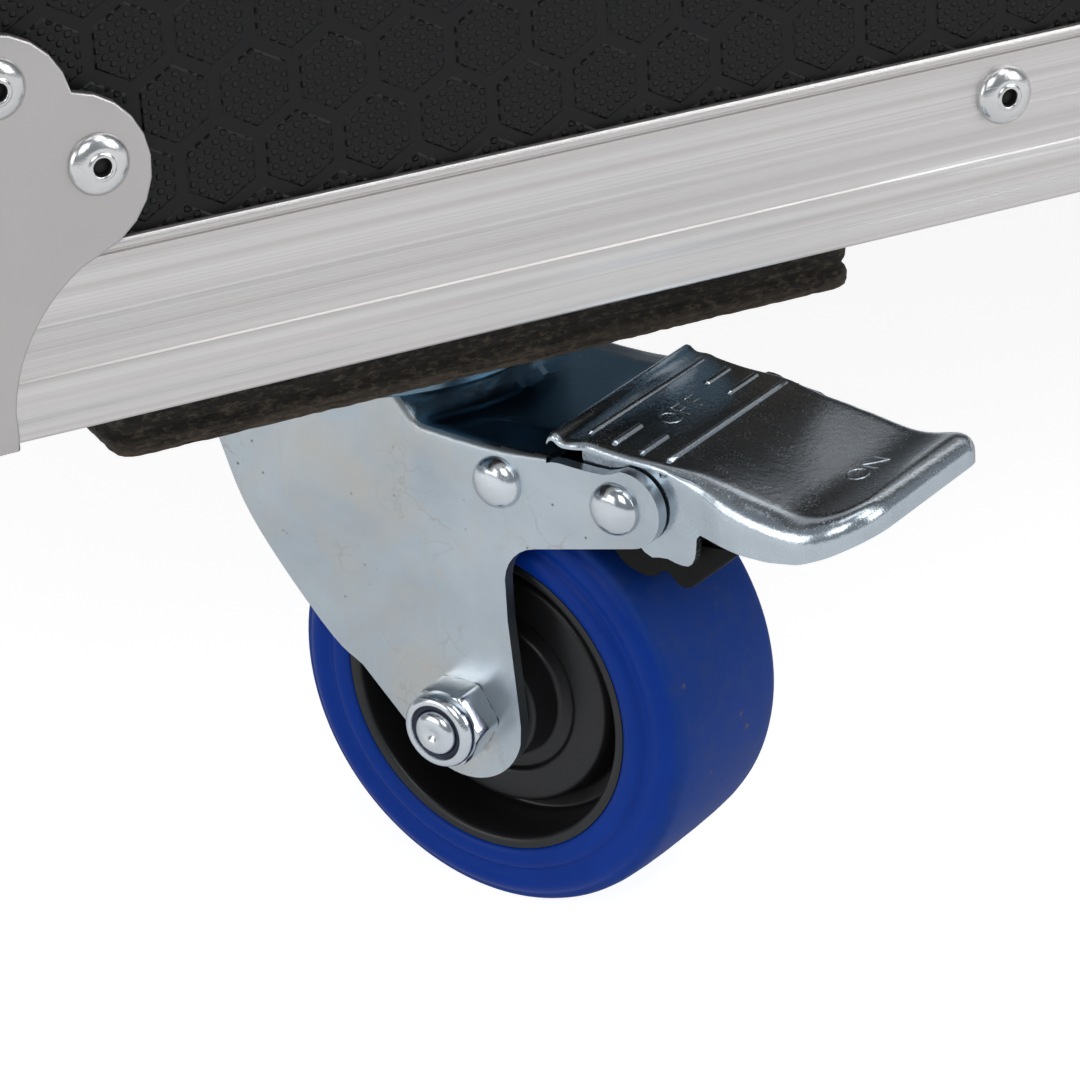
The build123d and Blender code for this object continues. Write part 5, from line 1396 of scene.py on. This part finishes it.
def ball_part():
    """Ring of balls under each castor's top plate, inside the fork's flanks."""
    arcs = [(max(2.85 * math.cos(math.radians(a)), 0.02), 2.85 * math.sin(math.radians(a))) for a in range(-90, 91, 15)]
    v, f = lathe(arcs, 24, closed=False)
    pt = Part()
    for n_ in CASTORS:
        x, y = CASTORS[n_]
        for i in range(14):
            a = 2 * math.pi * i / 14
            pt.add(v + np.array([x + 17.0 * math.cos(a), y + 17.0 * math.sin(a), 97.3 - CASE_Z]), f)
    return pt


make(ball_part(), "castor_ball_rings", ["ball"], "base", ["castor_balls"])

# -------------------------------------------------------- dishes and fittings
refine("latch_dishes", "latch_dish_pressings", ["dish"], 0.5, 3)
refine("latch_keepers", "latch_keeper_dishes", ["dish"], 0.5, 3)
refine("handle_dishes", "handle_dish_pressings", ["dish"], 0.5, 3)
for side in ("left", "right"):
    refine(side + "_latch_cam", side + "_latch_rotor", ["latch"], 0.35)
    refine(side + "_latch_wing", side + "_latch_butterfly", ["latch"], 0.45, 3)

    def grip(p, nrm, s=side):
        z = p.z - CASE_Z - 222.0
        return 1 if z < -17.5 and abs(p.y + Y_CENTRE - 280.0) < 47.5 else 0

    refine(side + "_handle", side + "_spring_handle", ["bright", "rubber"], 0.4, choose=grip)
refine("hinge_base_leaves", "hinge_leaves_low", ["hinge"], 0.3)
refine("hinge_lid_leaves", "hinge_leaves_high", ["hinge"], 0.3)
refine("hinge_pins", "hinge_rods", ["bright"], 0.3)
foam1 = refine("base_foam_cradle", "foam_cradle", ["foam"], 4.5, 5, 40)


def egg_crate():
    """Lid pad: flat against the top panel, waved like an egg box on its lower side."""
    x0, x1, y0, y1, top, low_ = 11.2, LENGTH - 11.2, 11.2, DEPTH - 11.2, H - 10.7, H - 48.9
    nx, ny = 156, 108
    xs = np.linspace(x0, x1, nx)
    ys = np.linspace(y0, y1, ny)
    gx, gy = np.meshgrid(xs, ys, indexing="ij")
    wave = np.sin((gx - 400) * 2 * math.pi / 44.0) * np.sin((gy - 280) * 2 * math.pi / 44.0)
    gz = low_ + 10.0 - 10.0 * np.tanh(1.3 * wave) / math.tanh(1.3) * 1.0
    edge = np.minimum(np.minimum(gx - x0, x1 - gx), np.minimum(gy - y0, y1 - gy))
    gz = gz + (low_ + 10.0 - gz) * np.clip(1 - edge / 9.0, 0, 1) ** 2 + 5.0 * np.clip(1 - edge / 5.0, 0, 1) ** 2
    rng = np.random.default_rng(5)
    gz = gz + rng.uniform(0, 0.35, gz.shape)
    v = list(np.stack([gx, gy, gz], 2).reshape(-1, 3))
    f = []
    for i in range(nx - 1):
        for j in range(ny - 1):
            f.append([i * ny + j, i * ny + j + 1, (i + 1) * ny + j + 1, (i + 1) * ny + j])
    loop = [i * ny for i in range(nx)] + [(nx - 1) * ny + j for j in range(1, ny)] + [i * ny + ny - 1 for i in range(nx - 2, -1, -1)] + [j for j in range(ny - 2, 0, -1)]
    base_i = len(v)
    k = len(loop)
    for dz, ins in ((6.0, 0.0), (0.8, 0.0), (0.0, 0.8)):
        for i in loop:
            x, y, _ = v[i]
            x = min(max(x, x0 + ins), x1 - ins)
            y = min(max(y, y0 + ins), y1 - ins)
            v.append(np.array([x, y, top - dz]))
    rings = [loop] + [[base_i + r * k + i for i in range(k)] for r in range(3)]
    for a, b in zip(rings, rings[1:]):
        for i in range(k):
            j = (i + 1) % k
            f.append([a[i], a[j], b[j], b[i]])
    f.append(rings[-1])
    return Part().add(v, f)


foam2 = make(egg_crate(), "foam_lid_pad", ["foam"], "lid", ["lid_foam"], sharp=60)

# ---------------------------------------------------------- stage and lights
floor_me = bpy.data.meshes.new("studio_floor")
S = 14.0
floor_me.from_pydata([(-S, -S, 0), (S, -S, 0), (S, S, 0), (-S, S, 0)], [], [(0, 1, 2, 3)])
floor = bpy.data.objects.new("studio_floor", floor_me)
bpy.context.scene.collection.objects.link(floor)
fm = bpy.data.materials.new("floor_white")
fm.use_nodes = True
ft = fm.node_tree
ft.nodes.clear()
fo = ft.nodes.new("ShaderNodeOutputMaterial")
fa = ft.nodes.new("ShaderNodeAddShader")
fd = ft.nodes.new("ShaderNodeBsdfDiffuse")
fd.inputs[0].default_value = (0.38, 0.38, 0.38, 1)
fe = ft.nodes.new("ShaderNodeEmission")
fe.inputs[0].default_value = (1, 1, 1, 1)
fe.inputs[1].default_value = 0.90
fw = ft.nodes.new("ShaderNodeBsdfDiffuse")
fw.inputs[0].default_value = (0.62, 0.62, 0.62, 1)
fx = ft.nodes.new("ShaderNodeEmission")
fx.inputs[0].default_value = (0.97, 0.985, 1, 1)
fx.inputs[1].default_value = 0.33
fb = ft.nodes.new("ShaderNodeAddShader")
fl = ft.nodes.new("ShaderNodeLightPath")
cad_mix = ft.nodes.new("ShaderNodeMixShader")
ft.links.new(fd.outputs[0], fa.inputs[0])
ft.links.new(fe.outputs[0], fa.inputs[1])
ft.links.new(fw.outputs[0], fb.inputs[0])
ft.links.new(fx.outputs[0], fb.inputs[1])
ft.links.new(fl.outputs["Is Camera Ray"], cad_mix.inputs[0])
ft.links.new(fb.outputs[0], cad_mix.inputs[1])
ft.links.new(fa.outputs[0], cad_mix.inputs[2])
ft.links.new(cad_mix.outputs[0], fo.inputs[0])
floor_me.materials.append(fm)

world = bpy.data.worlds.new("studio")
bpy.context.scene.world = world
world.use_nodes = True
wt = world.node_tree
wt.nodes.clear()
wo = wt.nodes.new("ShaderNodeOutputWorld")
wb = wt.nodes.new("ShaderNodeBackground")
wc = wt.nodes.new("ShaderNodeBackground")
wm = wt.nodes.new("ShaderNodeMixShader")
lp = wt.nodes.new("ShaderNodeLightPath")
wb.inputs[0].default_value = (0.86, 0.93, 1.0, 1)
wb.inputs[1].default_value = 0.27
wc.inputs[0].default_value = (1, 1, 1, 1)
wc.inputs[1].default_value = 1.0
wt.links.new(lp.outputs["Is Camera Ray"], wm.inputs[0])
wt.links.new(wb.outputs[0], wm.inputs[1])
wt.links.new(wc.outputs[0], wm.inputs[2])
wt.links.new(wm.outputs[0], wo.inputs[0])


def area(name, loc, target, size, power, colour=(1, 1, 1), size_y=None):
    li = bpy.data.lights.new(name, "AREA")
    li.shape = "RECTANGLE"
    li.size = size
    li.size_y = size_y or size
    li.energy = power
    li.color = colour
    o = bpy.data.objects.new(name, li)
    o.location = loc
    d = Vector(target) - Vector(loc)
    o.rotation_euler = d.to_track_quat("-Z", "Y").to_euler()
    bpy.context.scene.collection.objects.link(o)
    return o


area("key_softbox", (-1.6, -2.5, 2.2), (-0.1, -0.2, 0.15), 1.6, 22.0)
area("fill_softbox", (2.0, -2.3, 1.4), (0.0, -0.2, 0.2), 1.5, 27.0)
area("top_softbox", (0.0, 0.4, 3.0), (0.0, 0.0, 0.3), 2.4, 30.0)
area("front_strip", (0.75, -1.45, 2.4), (-0.2, -0.26, 0.13), 1.2, 12.0)
area("left_card", (-2.3, -0.35, 0.75), (-0.2, -0.26, 0.1), 1.4, 11.0, size_y=1.0)
area("back_softbox", (0.6, 3.0, 1.6), (0.0, 0.1, 0.3), 2.0, 20.0)

# -------------------------------------------------------------------- camera
PSI, ELEV, RHO = math.radians(23.965), math.radians(25.231), math.radians(-3.575)
fwd = Vector((math.sin(PSI) * math.cos(ELEV), math.cos(PSI) * math.cos(ELEV), -math.sin(ELEV)))
r0 = Vector((math.cos(PSI), -math.sin(PSI), 0))
u0 = Vector((math.sin(PSI) * math.sin(ELEV), math.cos(PSI) * math.sin(ELEV), math.cos(ELEV)))
right = math.cos(RHO) * r0 + math.sin(RHO) * u0
up = -math.sin(RHO) * r0 + math.cos(RHO) * u0
cam_data = bpy.data.cameras.new("camera")
cam = bpy.data.objects.new("camera", cam_data)
bpy.context.scene.collection.objects.link(cam)
pos = Vector((-0.57336, -0.94254, 0.43145))
cam.matrix_world = Matrix(((right.x, up.x, -fwd.x, pos.x), (right.y, up.y, -fwd.y, pos.y), (right.z, up.z, -fwd.z, pos.z), (0, 0, 0, 1)))
cam_data.sensor_width = 36.0
cam_data.lens = 166.87
cam_data.clip_end = 100.0
bpy.context.scene.camera = cam
vs = bpy.context.scene.view_settings
vs.view_transform = "Standard"
vs.look = "None"
